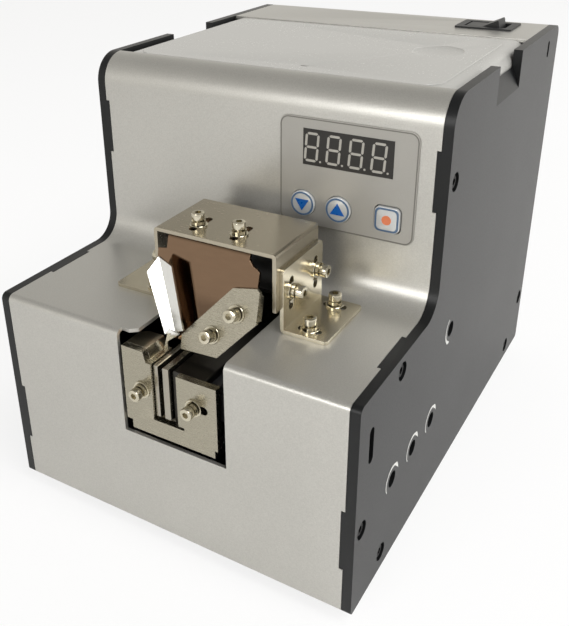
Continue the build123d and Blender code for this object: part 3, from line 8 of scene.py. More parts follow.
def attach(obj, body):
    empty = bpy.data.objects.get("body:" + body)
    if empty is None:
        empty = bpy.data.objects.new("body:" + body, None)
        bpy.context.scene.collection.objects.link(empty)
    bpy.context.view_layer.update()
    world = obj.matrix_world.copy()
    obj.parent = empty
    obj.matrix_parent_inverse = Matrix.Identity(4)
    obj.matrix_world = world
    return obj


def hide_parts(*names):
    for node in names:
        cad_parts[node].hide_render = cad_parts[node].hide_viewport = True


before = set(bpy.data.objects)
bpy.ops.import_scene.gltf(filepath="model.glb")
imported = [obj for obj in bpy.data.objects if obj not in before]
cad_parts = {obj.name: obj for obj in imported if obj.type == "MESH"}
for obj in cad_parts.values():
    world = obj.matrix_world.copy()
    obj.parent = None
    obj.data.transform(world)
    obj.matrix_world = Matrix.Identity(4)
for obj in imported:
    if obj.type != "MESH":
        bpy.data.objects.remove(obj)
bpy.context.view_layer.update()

# ------------------------------------------------------------------ front and rear cover
# The covers are 1.2 mm steel sheet, bent round the stepped outline and sprayed with a fine
# metallic silver paint.  They are held by screws through the side plates, so no screw shows on
# them, and their cut edges are painted too.
SILVER, SILVER_SHEEN = (0.490, 0.482, 0.452), 0.74
SHEET_EDGE = 0.00025
HALF_DEPTH, FEET_HIGH = 87.85, 5.0


def seat(x, y, z):
    """A place given in millimetres from the middle of the casing's front bottom edge."""
    return Vector((x, y - HALF_DEPTH, z + FEET_HIGH)) / 1000.0


def made_piece(bm, name, body, sharpest=28.0):
    """Turns a bmesh into a smooth object that keeps its sharp corners and rides on a body."""
    for face in bm.faces:
        face.smooth = True
    for edge in bm.edges:
        edge.smooth = edge.calc_face_angle(0.0) < radians(sharpest)
    mesh = bpy.data.meshes.new(name)
    bm.to_mesh(mesh)
    bm.free()
    piece = bpy.data.objects.new(name, mesh)
    bpy.context.scene.collection.objects.link(piece)
    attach(piece, body)
    return piece


def eased_copy(node, body, radius, segments=2, sharpest=28.0):
    """A copy of a frame piece with its sharp corners broken by a small radius."""
    bm = bmesh.new()
    bm.from_mesh(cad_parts[node].data)
    bmesh.ops.remove_doubles(bm, verts=bm.verts, dist=1e-6)
    bmesh.ops.dissolve_limit(bm, angle_limit=radians(0.6), verts=bm.verts, edges=bm.edges,
                             delimit={"NORMAL"})
    piece = made_piece(bm, node + "_eased", body, sharpest)
    corner = piece.modifiers.new("broken corners", "BEVEL")
    corner.limit_method = "ANGLE"
    corner.angle_limit = radians(sharpest)
    corner.width = radius
    corner.segments = segments
    corner.harden_normals = True
    corner.miter_outer = "MITER_ARC"
    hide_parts(node)
    return piece


def grain_group():
    """Noise on the piece's own coordinates, put out as a shade and as a height."""
    group = bpy.data.node_groups.new("surface_grain", "ShaderNodeTree")
    group.interface.new_socket("Scale", in_out="INPUT", socket_type="NodeSocketFloat")
    group.interface.new_socket("Stretch", in_out="INPUT", socket_type="NodeSocketVector")
    group.interface.new_socket("Shade", in_out="OUTPUT", socket_type="NodeSocketFloat")
    group.interface.new_socket("Height", in_out="OUTPUT", socket_type="NodeSocketFloat")
    nodes, links = group.nodes, group.links
    given, out = nodes.new("NodeGroupInput"), nodes.new("NodeGroupOutput")
    place, stretched = nodes.new("ShaderNodeTexCoord"), nodes.new("ShaderNodeVectorMath")
    stretched.operation = "MULTIPLY"
    fine, broad = nodes.new("ShaderNodeTexNoise"), nodes.new("ShaderNodeTexNoise")
    fine.inputs["Detail"].default_value = 2.0
    broad.inputs["Scale"].default_value = 35.0
    broad.inputs["Detail"].default_value = 3.0
    both = nodes.new("ShaderNodeMath")
    both.operation = "MULTIPLY_ADD"
    both.inputs[1].default_value = 0.3
    links.new(place.outputs["Object"], stretched.inputs[0])
    links.new(given.outputs["Stretch"], stretched.inputs[1])
    links.new(stretched.outputs[0], fine.inputs["Vector"])
    links.new(given.outputs["Scale"], fine.inputs["Scale"])
    links.new(place.outputs["Object"], broad.inputs["Vector"])
    links.new(broad.outputs["Fac"], both.inputs[0])
    links.new(fine.outputs["Fac"], both.inputs[2])
    links.new(both.outputs[0], out.inputs["Shade"])
    links.new(fine.outputs["Fac"], out.inputs["Height"])
    return group


GRAIN = grain_group()
GRAIN_LOW, GRAIN_HIGH = 0.35, 0.95


def finish(name, colour, roughness, metallic=0.0, scale=1500.0, stretch=(1, 1, 1), swing=0.06,
           depth=0.0, coat=0.0, ior=1.5):
    """A surface whose colour and roughness swing a little with the grain."""
    material = bpy.data.materials.new(name)
    material.use_nodes = True
    nodes, links = material.node_tree.nodes, material.node_tree.links
    shader = nodes["Principled BSDF"]
    grain = nodes.new("ShaderNodeGroup")
    grain.node_tree = GRAIN
    grain.inputs["Scale"].default_value = scale
    grain.inputs["Stretch"].default_value = stretch
    tint, rough = nodes.new("ShaderNodeMapRange"), nodes.new("ShaderNodeMapRange")
    for ranged in (tint, rough):
        ranged.inputs["From Min"].default_value = GRAIN_LOW
        ranged.inputs["From Max"].default_value = GRAIN_HIGH
        links.new(grain.outputs["Shade"], ranged.inputs["Value"])
    rough.inputs["To Min"].default_value = roughness * 0.92
    rough.inputs["To Max"].default_value = roughness * 1.08
    colours = nodes.new("ShaderNodeMix")
    colours.data_type = "RGBA"
    colours.inputs["A"].default_value = [c * (1 - swing) for c in colour] + [1]
    colours.inputs["B"].default_value = [min(1, c * (1 + swing)) for c in colour] + [1]
    links.new(tint.outputs["Result"], colours.inputs["Factor"])
    links.new(colours.outputs["Result"], shader.inputs["Base Color"])
    links.new(rough.outputs["Result"], shader.inputs["Roughness"])
    shader.inputs["Metallic"].default_value = metallic
    shader.inputs["IOR"].default_value = ior
    shader.inputs["Coat Weight"].default_value = coat
    shader.inputs["Coat Roughness"].default_value = 0.08
    if depth:
        bump = nodes.new("ShaderNodeBump")
        bump.inputs["Distance"].default_value = depth
        links.new(grain.outputs["Height"], bump.inputs["Height"])
        links.new(bump.outputs["Normal"], shader.inputs["Normal"])
    return material


def dress(piece, material):
    """Gives a frame node, named by its text, or a new piece its material."""
    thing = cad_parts[piece] if isinstance(piece, str) else piece
    thing.data.materials.clear()
    thing.data.materials.append(material)
    return thing


silver_paint = finish("silver_paint", SILVER, 0.35, metallic=SILVER_SHEEN, scale=2600, swing=0.10,
                      depth=0.00003)
for cover in ("front_cover", "rear_cover"):
    dress(eased_copy(cover, "casing", SHEET_EDGE), silver_paint)


def painted_shade_box(material, low, high):
    """Blackens the paint inside a box behind the hood, as painted shade in place of the opening
    there.
    """
    nodes, links = material.node_tree.nodes, material.node_tree.links
    shader = nodes["Principled BSDF"]
    place, axes = nodes.new("ShaderNodeTexCoord"), nodes.new("ShaderNodeSeparateXYZ")
    links.new(place.outputs["Object"], axes.inputs[0])
    inside = None
    for axis in range(3):
        near = nodes.new("ShaderNodeMath")
        near.operation = "COMPARE"
        near.inputs[1].default_value = (low + high)[axis] / 2
        near.inputs[2].default_value = (high - low)[axis] / 2
        links.new(axes.outputs[axis], near.inputs[0])
        if inside:
            both = nodes.new("ShaderNodeMath")
            both.operation = "MULTIPLY"
            links.new(inside, both.inputs[0])
            links.new(near.outputs[0], both.inputs[1])
            near = both
        inside = near.outputs[0]
    dark, sheen = nodes.new("ShaderNodeMix"), nodes.new("ShaderNodeMath")
    dark.data_type = "RGBA"
    dark.inputs["B"].default_value = (0.003, 0.003, 0.003, 1)
    sheen.operation = "MULTIPLY_ADD"
    sheen.inputs[1].default_value = -SILVER_SHEEN
    sheen.inputs[2].default_value = SILVER_SHEEN
    links.new(inside, dark.inputs["Factor"])
    links.new(shader.inputs["Base Color"].links[0].from_socket, dark.inputs["A"])
    links.new(dark.outputs["Result"], shader.inputs["Base Color"])
    links.new(inside, sheen.inputs[0])
    links.new(sheen.outputs[0], shader.inputs["Metallic"])


# Painted shade: the covers' paint turns black and loses its metal sheen inside this box behind the
# hood.
painted_shade_box(silver_paint, seat(-15.2, 43.5, 69.0), seat(21.8, 58.0, 81.0))

# ------------------------------------------------------------------ side plates
# The two side plates are moulded in black plastic with a fine matt texture.  A lip inside them
# carries the covers, and their outer edge has a small moulded radius.
black_texture = finish("black_texture", (0.006, 0.0065, 0.007), 0.36, scale=2300, swing=0.12,
                       depth=0.00002, ior=1.36)
for plate in ("left_side_plate", "right_side_plate"):
    dress(eased_copy(plate, "casing", 0.0004, sharpest=18.0), black_texture)

# ------------------------------------------------------------------ base plate and feet
# The base is a sheet of grey-painted steel between the side plates, on four turned rubber feet.
grey_paint = finish("grey_paint", (0.22, 0.22, 0.225), 0.45, metallic=0.3, scale=2000,
                    depth=0.00002)
rubber = finish("rubber", (0.022, 0.022, 0.022), 0.75, scale=900, swing=0.15, depth=0.00003)
dress("base_plate", grey_paint)
dress(eased_copy("rubber_feet", "casing", 0.0003), rubber)

# ------------------------------------------------------------------ recessed pan-head screws
# Black pan-head screws sit in counterbores of the side plates and hold the motor's gearhead.
black_oxide = finish("black_oxide", (0.004, 0.004, 0.0042), 0.5, scale=1200, ior=1.3)
dress(eased_copy("pan_head_screws", "casing", 0.00015), black_oxide)

# ------------------------------------------------------------------ lid
# The lid is moulded in frosted plastic, with rounded long edges, skirts that drop between the
# side plates, a finger dimple and a locating slit.
frosted = finish("frosted", (0.39, 0.387, 0.37), 0.26, scale=1800, swing=0.02)
dress(eased_copy("lid", "lid", 0.0005), frosted)

# ------------------------------------------------------------------ counter panel
# A printed film is glued into the cover's tall face, over the display's window.  The window is
# tinted dark, and the unlit segments of the four digits show pale behind it.
PANEL_FRONT = 55.3
PANEL_X, PANEL_Z, PANEL_CORNER = (9.0, 53.5), (91.34, 126.17), 3.0
BORDER_OUT, BORDER_IN, BORDER_PROUD, BORDER_T = 0.25, 0.62, 0.04, 0.09
WINDOW_X, WINDOW_Z, WINDOW_PROUD, WINDOW_T = (17.0, 46.1), (111.4, 122.8), 0.06, 0.1
DIGITS_X, DIGIT_W, DIGIT_H, SLANT = (19.9, 27.1, 34.3, 41.5), 3.9, 8.5, radians(4)
BAR_W, BAR_GAP, BAR_PROUD, BAR_T = 0.74, 0.2, 0.09, 0.06
POINT_R, POINT_AWAY = 0.34, 0.95
panel_film = finish("panel_film", (0.35, 0.34, 0.315), 0.36, metallic=0.45, scale=3200, swing=0.03)
border_ink = finish("border_ink", (0.13, 0.125, 0.11), 0.4, scale=1500, swing=0.04)
dress(eased_copy("panel_overlay", "casing", 0.00022), panel_film)


def thickened(bm, faces, way):
    """Draws flat faces out into a solid, along a vector in millimetres."""
    grown = bmesh.ops.extrude_face_region(bm, geom=faces)["geom"]
    tops = [v for v in grown if isinstance(v, bmesh.types.BMVert)]
    bmesh.ops.translate(bm, verts=tops, vec=Vector(way) / 1000.0)


def flat_plate(bm, corners, front, thickness):
    """A thin plate with the given corners in x and z, its front at the given y."""
    face = bm.faces.new([bm.verts.new(seat(x, front + thickness, z)) for x, z in corners])
    thickened(bm, [face], (0, -thickness, 0))


def outward(bm):
    bmesh.ops.recalc_face_normals(bm, faces=bm.faces)
    return bm


def disc(x, z, radius, sides):
    """Corners of a round shape in x and z."""
    angles = [2 * pi * side / sides for side in range(sides)]
    return [(x + radius * cos(angle), z + radius * sin(angle)) for angle in angles]


def window_pane():
    (x0, x1), (z0, z1) = WINDOW_X, WINDOW_Z
    bm = bmesh.new()
    flat_plate(bm, ((x0, z0), (x1, z0), (x1, z1), (x0, z1)), PANEL_FRONT - WINDOW_PROUD, WINDOW_T)
    return outward(bm)


def panel_border():
    """The thin line printed along the film's edge."""
    bm = bmesh.new()
    left, right = PANEL_X[0] + PANEL_CORNER, PANEL_X[1] - PANEL_CORNER
    low, high = PANEL_Z[0] + PANEL_CORNER, PANEL_Z[1] - PANEL_CORNER
    corners = ((right, high), (left, high), (left, low), (right, low))
    rings = []
    for inset in (BORDER_OUT, BORDER_IN):
        radius, ring = PANEL_CORNER - inset, []
        for quarter, (cx, cz) in enumerate(corners):
            for step in range(7):
                angle = (quarter + step / 6) * pi / 2
                place = seat(cx + radius * cos(angle), PANEL_FRONT - BORDER_PROUD + BORDER_T,
                             cz + radius * sin(angle))
                ring.append(bm.verts.new(place))
        rings.append(ring)
    outer, inner = rings
    band = [bm.faces.new((outer[i - 1], outer[i], inner[i], inner[i - 1]))
            for i in range(len(outer))]
    thickened(bm, band, (0, -BORDER_T, 0))
    return outward(bm)


def digit_bars():
    """Four figures of seven bars, with a point after each."""
    bm = bmesh.new()
    front, middle = PANEL_FRONT - BAR_PROUD, sum(WINDOW_Z) / 2
    half_w, half_h, t = DIGIT_W / 2, DIGIT_H / 2, BAR_W / 2
    for x in DIGITS_X:
        bars = [(0, level * half_h, True) for level in (-1, 0, 1)]
        bars += [(side * half_w, level * half_h / 2, False)
                 for side in (-1, 1) for level in (-1, 1)]
        for cx, cz, lying in bars:
            reach = (half_w if lying else half_h / 2) - BAR_GAP
            shape = ((-reach, 0), (-reach + t, -t), (reach - t, -t),
                     (reach, 0), (reach - t, t), (-reach + t, t))
            points = [(a, b) if lying else (b, a) for a, b in shape]
            corners = [(x + cx + u + tan(SLANT) * (cz + v), middle + cz + v) for u, v in points]
            flat_plate(bm, corners, front, BAR_T)
        flat_plate(bm, disc(x + half_w + POINT_AWAY, middle - half_h, POINT_R, 12), front, BAR_T)
    return outward(bm)


tinted = finish("tinted_window", (0.016, 0.0145, 0.012), 0.24, scale=600, swing=0.05, ior=1.42)
unlit = finish("unlit_bars", (0.36, 0.345, 0.31), 0.35, scale=900, swing=0.04)
dress(made_piece(window_pane(), "display_window", "casing"), tinted)
dress(made_piece(digit_bars(), "display_digits", "casing"), unlit)
dress(made_piece(panel_border(), "panel_border", "casing"), border_ink)
dress("display_module", tinted)

# ------------------------------------------------------------------ buttons
# Domed caps stand a little out of the film: two round ones with a blue arrow and a square one.
# Each has a dark ring printed near its rim, and springs back from a small switch behind it.
BUTTON_Z, DOWN_X, UP_X, SET_X = 98.7, 17.3, 29.3, 45.2
CAP_R, SET_HALF, SET_CORNER = 4.15, 4.0, 1.7
CAP_PROUD, DOME_FALL, CAP_ROOT = 1.0, 0.22, -2.6
RING_IN, RING_OUT, RING_PROUD = 0.79, 0.93, 0.03
ARROW_HALF, ARROW_BASE, ARROW_TIP, MARK_ROUND = 2.4, 1.5, 2.3, 1.5
PRINT_FRONT, PRINT_T = PANEL_FRONT - CAP_PROUD - 0.03, 0.2
cap_plastic = finish("cap_plastic", (0.50, 0.51, 0.51), 0.24, metallic=0.35, scale=1500, swing=0.03,
                     coat=0.4)
ring_ink = finish("ring_ink", (0.055, 0.105, 0.19), 0.30, scale=1500, swing=0.05)
arrow_ink = finish("arrow_ink", (0.004, 0.085, 0.33), 0.28, scale=1500, swing=0.04)
mark_ink = finish("mark_ink", (0.62, 0.17, 0.07), 0.30, scale=1500, swing=0.04)


def loop(bm, points):
    """Closed ring of edges through points."""
    verts = [bm.verts.new(p) for p in points]
    return [bm.edges.new((a, b)) for a, b in zip(verts, verts[1:] + verts[:1])]


def cap_outline(square, reach):
    """Outline of a cap at a distance from its middle: a circle or a square with round corners."""
    corner = SET_CORNER * reach / SET_HALF if square else reach
    flat, points = reach - corner, []
    for step in range(48):
        angle = 2 * pi * step / 48
        cx, cz = flat * (1 if cos(angle) >= 0 else -1), flat * (1 if sin(angle) >= 0 else -1)
        points.append((cx + corner * cos(angle), cz + corner * sin(angle)))
    return points


def stacked(bm, square, x, rings):
    """Skin through outlines of the given reaches and heights above the film."""
    loops = []
    for reach, high in rings:
        outline = cap_outline(square, reach)
        loops.append(loop(bm, [seat(x + u, PANEL_FRONT - high, BUTTON_Z + w) for u, w in outline]))
    for lower, upper in zip(loops, loops[1:]):
        bmesh.ops.bridge_loops(bm, edges=lower + upper)
    return loops


def cap_height(share):
    """Height of the dome over the film, from its middle, 0, to its rim, 1."""
    return CAP_PROUD - DOME_FALL * share ** 2


def button_cap(x, square):
    """Closed dome with a rounded rim, its root behind the film."""
    bm = bmesh.new()
    reach = SET_HALF if square else CAP_R
    rings = [(reach, CAP_ROOT), (reach, 0.45), (reach * 0.985, 0.62), (reach * 0.95, 0.73)]
    rings += [(reach * s, cap_height(s)) for s in (0.88, 0.7, 0.45, 0.2)]
    ends = stacked(bm, square, x, rings)
    for edges in (ends[0], ends[-1]):
        bmesh.ops.edgeloop_fill(bm, edges=edges)
    return outward(bm)


def cap_ring(x, square):
    """Band printed round a cap, a hair's breadth proud of the dome."""
    bm = bmesh.new()
    reach = SET_HALF if square else CAP_R
    section = ((RING_IN, -RING_PROUD), (RING_IN, RING_PROUD), (RING_OUT, RING_PROUD),
               (RING_OUT, -0.05), (RING_IN, -RING_PROUD))
    stacked(bm, square, x, [(reach * s, cap_height(s) + up) for s, up in section])
    bmesh.ops.remove_doubles(bm, verts=bm.verts, dist=1e-7)
    return outward(bm)


def printed(corners):
    """A flat mark on top of a cap."""
    bm = bmesh.new()
    flat_plate(bm, corners, PRINT_FRONT, PRINT_T)
    return outward(bm)


def arrow(x, way):
    base, tip = BUTTON_Z - way * ARROW_BASE, BUTTON_Z + way * ARROW_TIP
    return printed(((x - ARROW_HALF, base), (x + ARROW_HALF, base), (x, tip)))


for node, x in (("down_button", DOWN_X), ("up_button", UP_X), ("set_button", SET_X)):
    square = node == "set_button"
    cap = dress(made_piece(button_cap(x, square), node + "_cap", node), cap_plastic)
    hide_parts(node)
    dress(made_piece(cap_ring(x, square), node + "_ring", node), ring_ink)
round_mark = printed(disc(SET_X, BUTTON_Z, MARK_ROUND, 32))
for name, node, mark, ink in (("down_button_arrow", "down_button", arrow(DOWN_X, -1), arrow_ink),
                              ("up_button_arrow", "up_button", arrow(UP_X, 1), arrow_ink),
                              ("set_button_mark", "set_button", round_mark, mark_ink)):
    dress(made_piece(mark, name, node), ink)

# ------------------------------------------------------------------ power switch
# A snap-in rocker switch sits in the rear cover's top, behind the lid: a key of black plastic
# on two pins in a flanged frame, held by the frame's two springy catches.
switch_frame = finish("switch_frame", (0.016, 0.016, 0.017), 0.42, scale=1500, ior=1.36)
switch_key = finish("switch_key", (0.012, 0.012, 0.0125), 0.40, scale=900, swing=0.04, ior=1.36)
dress(eased_copy("switch_housing", "casing", 0.0003), switch_frame)
dress(eased_copy("power_rocker", "power_rocker", 0.0005, 3), switch_key)

# ------------------------------------------------------------------ hood and its brackets
# The hood and the two angle brackets are folded from 1.2 mm steel and nickel plated.  The
# rolling lines of the sheet still show in the plating, and the cut edges are polished.
ROLLED = {"metallic": 1.0, "scale": 420, "stretch": (1, 7, 7), "swing": 0.04}
nickel = finish("nickel_plate", (0.42, 0.38, 0.30), 0.26, **ROLLED)
# A lighter copy of the nickel plating, painted light on the hood brackets and the left track block.
nickel_painted_light = finish("nickel_painted_light", (0.64, 0.59, 0.47), 0.24, **ROLLED)
dress(eased_copy("hood", "casing", 0.0002), nickel)
for node in ("left_hood_bracket", "right_hood_bracket"):
    dress(eased_copy(node, "casing", 0.0002), nickel_painted_light)

# ------------------------------------------------------------------ guard, gate plate and bit guide
# The guard is polished stainless sheet; the gate plate is nickel plated as the hood is; the bit
# guide is a bright folded strip.
# The guard's dark brown colour is a painted reflection of its surroundings, laid into the polished
# steel's base colour.
steel_painted_reflection = finish("polished_steel_painted_reflection", (0.22, 0.145, 0.095), 0.07, metallic=1.0, scale=260,
                      stretch=(1, 1, 5), swing=0.05)
bright_steel = finish("bright_steel", (0.80, 0.80, 0.77), 0.18, metallic=1.0, scale=300,
                      stretch=(4, 4, 1), swing=0.03)
dress(eased_copy("guard_plate", "casing", 0.00018), steel_painted_reflection)
dull_nickel = finish("dull_nickel", (0.38, 0.355, 0.285), 0.27, **ROLLED)
dress(eased_copy("gate_plate", "casing", 0.0002), dull_nickel)
dress(eased_copy("bit_guide", "casing", 0.00012), bright_steel)

# ------------------------------------------------------------------ captive-washer screws
# Small socket-head screws with a split spring washer and a flat washer clamp the hood, the
# brackets, the gate plate and the stopper plate.  They are bright nickel.
screw_nickel = finish("screw_nickel", (0.58, 0.54, 0.43), 0.17, metallic=1.0, scale=900, swing=0.06)
SHANK_R, HEAD_R, HEAD_LOW, HEAD_TOP = 1.2, 2.0, 2.1, 4.3
SOCKET_R, SOCKET_DEEP = 1.05, 1.2
WASHER_R, WASHER_T, WASHER_HOLE = 2.8, 0.6, SHANK_R + 0.1
SPRING_R, SPRING_T, SPRING_LOW, SPRING_RISE, SPRING_STEPS = 2.2, 0.95, WASHER_T + 0.05, 0.45, 26


def profile_verts(bm, profile):
    """Points of a profile of radius and height, in the plane of x and z."""
    return [bm.verts.new((r / 1000.0, 0, z / 1000.0)) for r, z in profile]


def spun(bm, profile):
    """Turns a profile of radius and height once round +Z."""
    verts = profile_verts(bm, profile)
    edges = [bm.edges.new(pair) for pair in zip(verts, verts[1:])]
    bmesh.ops.spin(bm, geom=verts + edges, axis=(0, 0, 1), cent=(0, 0, 0), angle=2 * pi, steps=28,
                   use_merge=True, use_normal_flip=False, use_duplicate=False)
    bmesh.ops.remove_doubles(bm, verts=bm.verts, dist=1e-7)


def drawn_out(bm, edges):
    """Extrudes a ring of edges, and gives the new corners and edges."""
    new = bmesh.ops.extrude_edge_only(bm, edges=edges)["geom"]
    return [[item for item in new if isinstance(item, kind)]
            for kind in (bmesh.types.BMVert, bmesh.types.BMEdge)]


def socket_screw(length):
    """Head with a hexagon socket, neck and shank, standing up from its seat at z = 0."""
    bm = bmesh.new()
    spun(bm, ((0, -length), (SHANK_R - 0.3, -length), (SHANK_R, -length + 0.3), (SHANK_R, HEAD_LOW),
              (HEAD_R - 0.15, HEAD_LOW), (HEAD_R, HEAD_LOW + 0.15), (HEAD_R, HEAD_TOP - 0.35),
              (HEAD_R - 0.1, HEAD_TOP - 0.1), (HEAD_R - 0.35, HEAD_TOP)))
    rim = [e for e in bm.edges if e.is_boundary and min(v.co.z for v in e.verts) > 0]
    hexagon, brim = drawn_out(bm, rim)
    for vert in hexagon:
        angle = atan2(vert.co.y, vert.co.x)
        inside = (angle % (pi / 3)) - pi / 6
        reach = SOCKET_R * cos(pi / 6) / cos(inside) / 1000.0
        vert.co.x, vert.co.y = reach * cos(angle), reach * sin(angle)
    low, low_edges = drawn_out(bm, brim)
    bmesh.ops.translate(bm, verts=low, vec=(0, 0, -SOCKET_DEEP / 1000.0))
    bmesh.ops.holes_fill(bm, edges=low_edges, sides=0)
    return outward(bm)


def split_washer():
    """Spring washer: a square section wound almost once round, its ends a little apart."""
    bm = bmesh.new()
    section = ((WASHER_HOLE, SPRING_LOW), (SPRING_R, SPRING_LOW),
               (SPRING_R, SPRING_LOW + SPRING_T), (WASHER_HOLE, SPRING_LOW + SPRING_T))
    start = bm.faces.new(profile_verts(bm, section))
    bmesh.ops.spin(bm, geom=[start], axis=(0, 0, 1), cent=(0, 0, 0),
                   dvec=(0, 0, SPRING_RISE / SPRING_STEPS / 1000.0), angle=radians(346),
                   steps=SPRING_STEPS, use_merge=False, use_normal_flip=False, use_duplicate=False)
    return outward(bm)


def flat_washer():
    bm = bmesh.new()
    spun(bm, ((WASHER_HOLE, 0), (WASHER_R, 0), (WASHER_R, WASHER_T - 0.1),
              (WASHER_R - 0.1, WASHER_T), (WASHER_HOLE, WASHER_T), (WASHER_HOLE, 0)))
    return outward(bm)


def screw_set(name, node, places, length):
    """One mesh with a screw and its two washers at every place of a node."""
    bm = bmesh.new()
    for place in places:
        for part in (socket_screw(length), split_washer(), flat_washer()):
            bmesh.ops.transform(part, matrix=place, verts=part.verts)
            seated = bpy.data.meshes.new("seated")
            part.to_mesh(seated)
            part.free()
            bm.from_mesh(seated)
            bpy.data.meshes.remove(seated)
    piece = dress(made_piece(bm, name, "casing"), screw_nickel)
    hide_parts(node)


def standing(x, y, z, way, turn=0.0):
    """Matrix that seats a screw with its head towards a direction, turned on its axis."""
    along = Vector(way).to_track_quat("Z", "Y").to_matrix().to_4x4()
    return Matrix.Translation(seat(x, y, z)) @ along @ Matrix.Rotation(radians(turn), 4, "Z")


HOOD_TOP, HOOD_LEFT, HOOD_RIGHT, LOW_TOP, SHEET = 97.2, -14.8, 27.0, 71.5, 1.2
hood_places = [standing(x, 27.6, HOOD_TOP, (0, 0, 1), turn) for x, turn in ((-3.4, 20), (10.8, 90))]
screw_set("hood_socket_screws", "hood_screws", hood_places, 3.4)
cheeks = [standing(x, y, 83.8, (way, 0, 0), 40 + y)
          for x, way in ((HOOD_LEFT - SHEET, -1), (HOOD_RIGHT + SHEET, 1)) for y in (27.4, 42.8)]
feet = [standing(x, y, LOW_TOP + SHEET, (0, 0, 1), 15 + 3 * y)
        for x in (-20.2, 34.7) for y in (26.6, 43.2)]
screw_set("bracket_socket_screws", "bracket_screws", cheeks + feet, 4.0)
LEAN, GUARD_Y, GUARD_Z = radians(16), 20.8, HOOD_TOP - SHEET
gate_places = [standing(x, GUARD_Y - SHEET * cos(LEAN) + up * sin(LEAN),
                        GUARD_Z + SHEET * sin(LEAN) + up * cos(LEAN),
                        (0, -cos(LEAN), sin(LEAN)), 5 * x)
               for x, up in ((10.1, -26.2), (17.2, -18.1))]
screw_set("gate_socket_screws", "gate_screws", gate_places, 2.8)
stopper_places = [standing(x, 0.0, 53.7, (0, -1, 0), 9 * x) for x in (-7.2, 11.3)]
screw_set("stopper_socket_screws", "stopper_screws", stopper_places, 6.0)

# ------------------------------------------------------------------ stopper plate, blocks and rail
# The stopper plate is nickel plated and closes the rail's front.  The blocks and the two bars of
# the rail are ground tool steel; the bars are brightest where screws slide on them.
GROUND = {"metallic": 1.0, "scale": 500, "stretch": (9, 1, 9), "swing": 0.10}
ground_steel = finish("ground_steel", (0.40, 0.375, 0.32), 0.26, **GROUND)
# A near-black copy of the ground steel, painted shade on the right track block.
ground_steel_painted_shade = finish("ground_steel_painted_shade", (0.055, 0.052, 0.048), 0.30, **GROUND)
dress(eased_copy("stopper_plate", "casing", 0.0002), dull_nickel)
# The left track block takes the lighter nickel copy as painted light.
dress(eased_copy("left_track_block", "casing", 0.00025), nickel_painted_light)
dress(eased_copy("right_track_block", "casing", 0.00025), ground_steel_painted_shade)
for node in ("rail_bar_left", "rail_bar_right"):
    dress(eased_copy(node, "rail", 0.00012), ground_steel)

# ------------------------------------------------------------------ rail drive
# Under the rail a magnet with a taped winding pulls an iron plate, and two leaf springs in split
# clamps let the rail swing.  Zinc-plated stands carry the blocks beside it.
zinc = finish("zinc_plate", (0.52, 0.54, 0.55), 0.34, metallic=1.0, scale=250, swing=0.12)
spring_blue = finish("tempered_spring", (0.22, 0.25, 0.33), 0.25, metallic=1.0, scale=300,
                     swing=0.10)
iron = finish("bare_iron", (0.16, 0.16, 0.165), 0.45, metallic=0.9, scale=700, stretch=(8, 1, 1),
              swing=0.14)
tape = finish("winding_tape", (0.30, 0.16, 0.04), 0.30, scale=700, stretch=(1, 6, 1), swing=0.10,
              coat=0.3)
sensor_black = finish("sensor_black", (0.018, 0.018, 0.02), 0.40, scale=1200)
for node in ("track_stands", "spring_clamps"):
    dress(node, zinc)
dress("rail_carrier", ground_steel)
for node in ("armature", "magnet_core"):
    dress(node, iron)
dress("leaf_springs", spring_blue)
dress("magnet_coil", tape)
dress("pickup_sensor", sensor_black)

# ------------------------------------------------------------------ hopper, drum and brush
# The hopper is folded zinc-plated sheet, resting on the side plates' ledges.  The drum is turned
# aluminium with riveted vanes; its gears are moulded nylon on steel, with bronze bushes.
drum_alloy = finish("turned_aluminium", (0.66, 0.67, 0.68), 0.32, metallic=1.0, scale=900,
                    stretch=(1, 9, 1), swing=0.08)
nylon = finish("gear_nylon", (0.78, 0.76, 0.70), 0.42, scale=500, swing=0.03)
bronze = finish("bush_bronze", (0.52, 0.34, 0.14), 0.38, metallic=1.0, scale=1400, swing=0.12)
motor_steel = finish("motor_can", (0.48, 0.48, 0.49), 0.30, metallic=1.0, scale=600,
                     stretch=(1, 8, 1))
bristle = finish("bristle_nylon", (0.07, 0.07, 0.075), 0.60, scale=1500, stretch=(6, 6, 1),
                 swing=0.5, depth=0.0002)
for node in ("hopper", "gear_frame", "brush_lever", "brush_arm"):
    dress(node, zinc)
dress(eased_copy("scoop_drum", "drum", 0.0002), drum_alloy)
for node in ("drum_gear", "crank_gear"):
    dress(node, nylon)
for node in ("drum_shaft", "brush_shaft", "motor_pinion"):
    dress(node, ground_steel)
dress("shaft_bushes", bronze)
dress("gear_motor", motor_steel)
dress("brush_bristles", bristle)

# ------------------------------------------------------------------ boards and adjusters
# The counter board stands on posts behind the panel and the control board on posts inside the
# right-hand plate, with four trimmers that a screwdriver reaches through the plate.
board_green = finish("board_green", (0.02, 0.13, 0.055), 0.28, scale=900, swing=0.10, coat=0.3)
trimmer_blue = finish("trimmer_blue", (0.03, 0.12, 0.42), 0.32, scale=900)
brass = finish("trimmer_brass", (0.66, 0.50, 0.22), 0.26, metallic=1.0, scale=900)
for node in ("counter_board", "control_board"):
    dress(node, board_green)
dress("button_switches", sensor_black)
dress("trimmer_bodies", trimmer_blue)
for number in range(1, 5):
    dress(f"trimmer_rotor_{number}", brass)

# ------------------------------------------------------------------ adjuster marks
# A white arc with a swelling head is printed beside each adjuster hole, to show the way to turn.
white_ink = finish("white_ink", (0.62, 0.62, 0.60), 0.5, scale=1500, swing=0.05)
OUTER_FACE, MARK_R, MARK_SUNK, MARK_T = 62.5, 4.6, 0.02, 0.08
TAIL_HALF, MARK_SWELL, MARK_HEAD, HEAD_FROM, MARK_STEPS = 0.16, 0.30, 0.75, 0.8, 22
MARKS = ((26.4, 30.3, 215, -200), (42.8, 30.3, 215, -200), (59.2, 30.3, 215, -200),
         (71.8, 57.9, 115, 150))


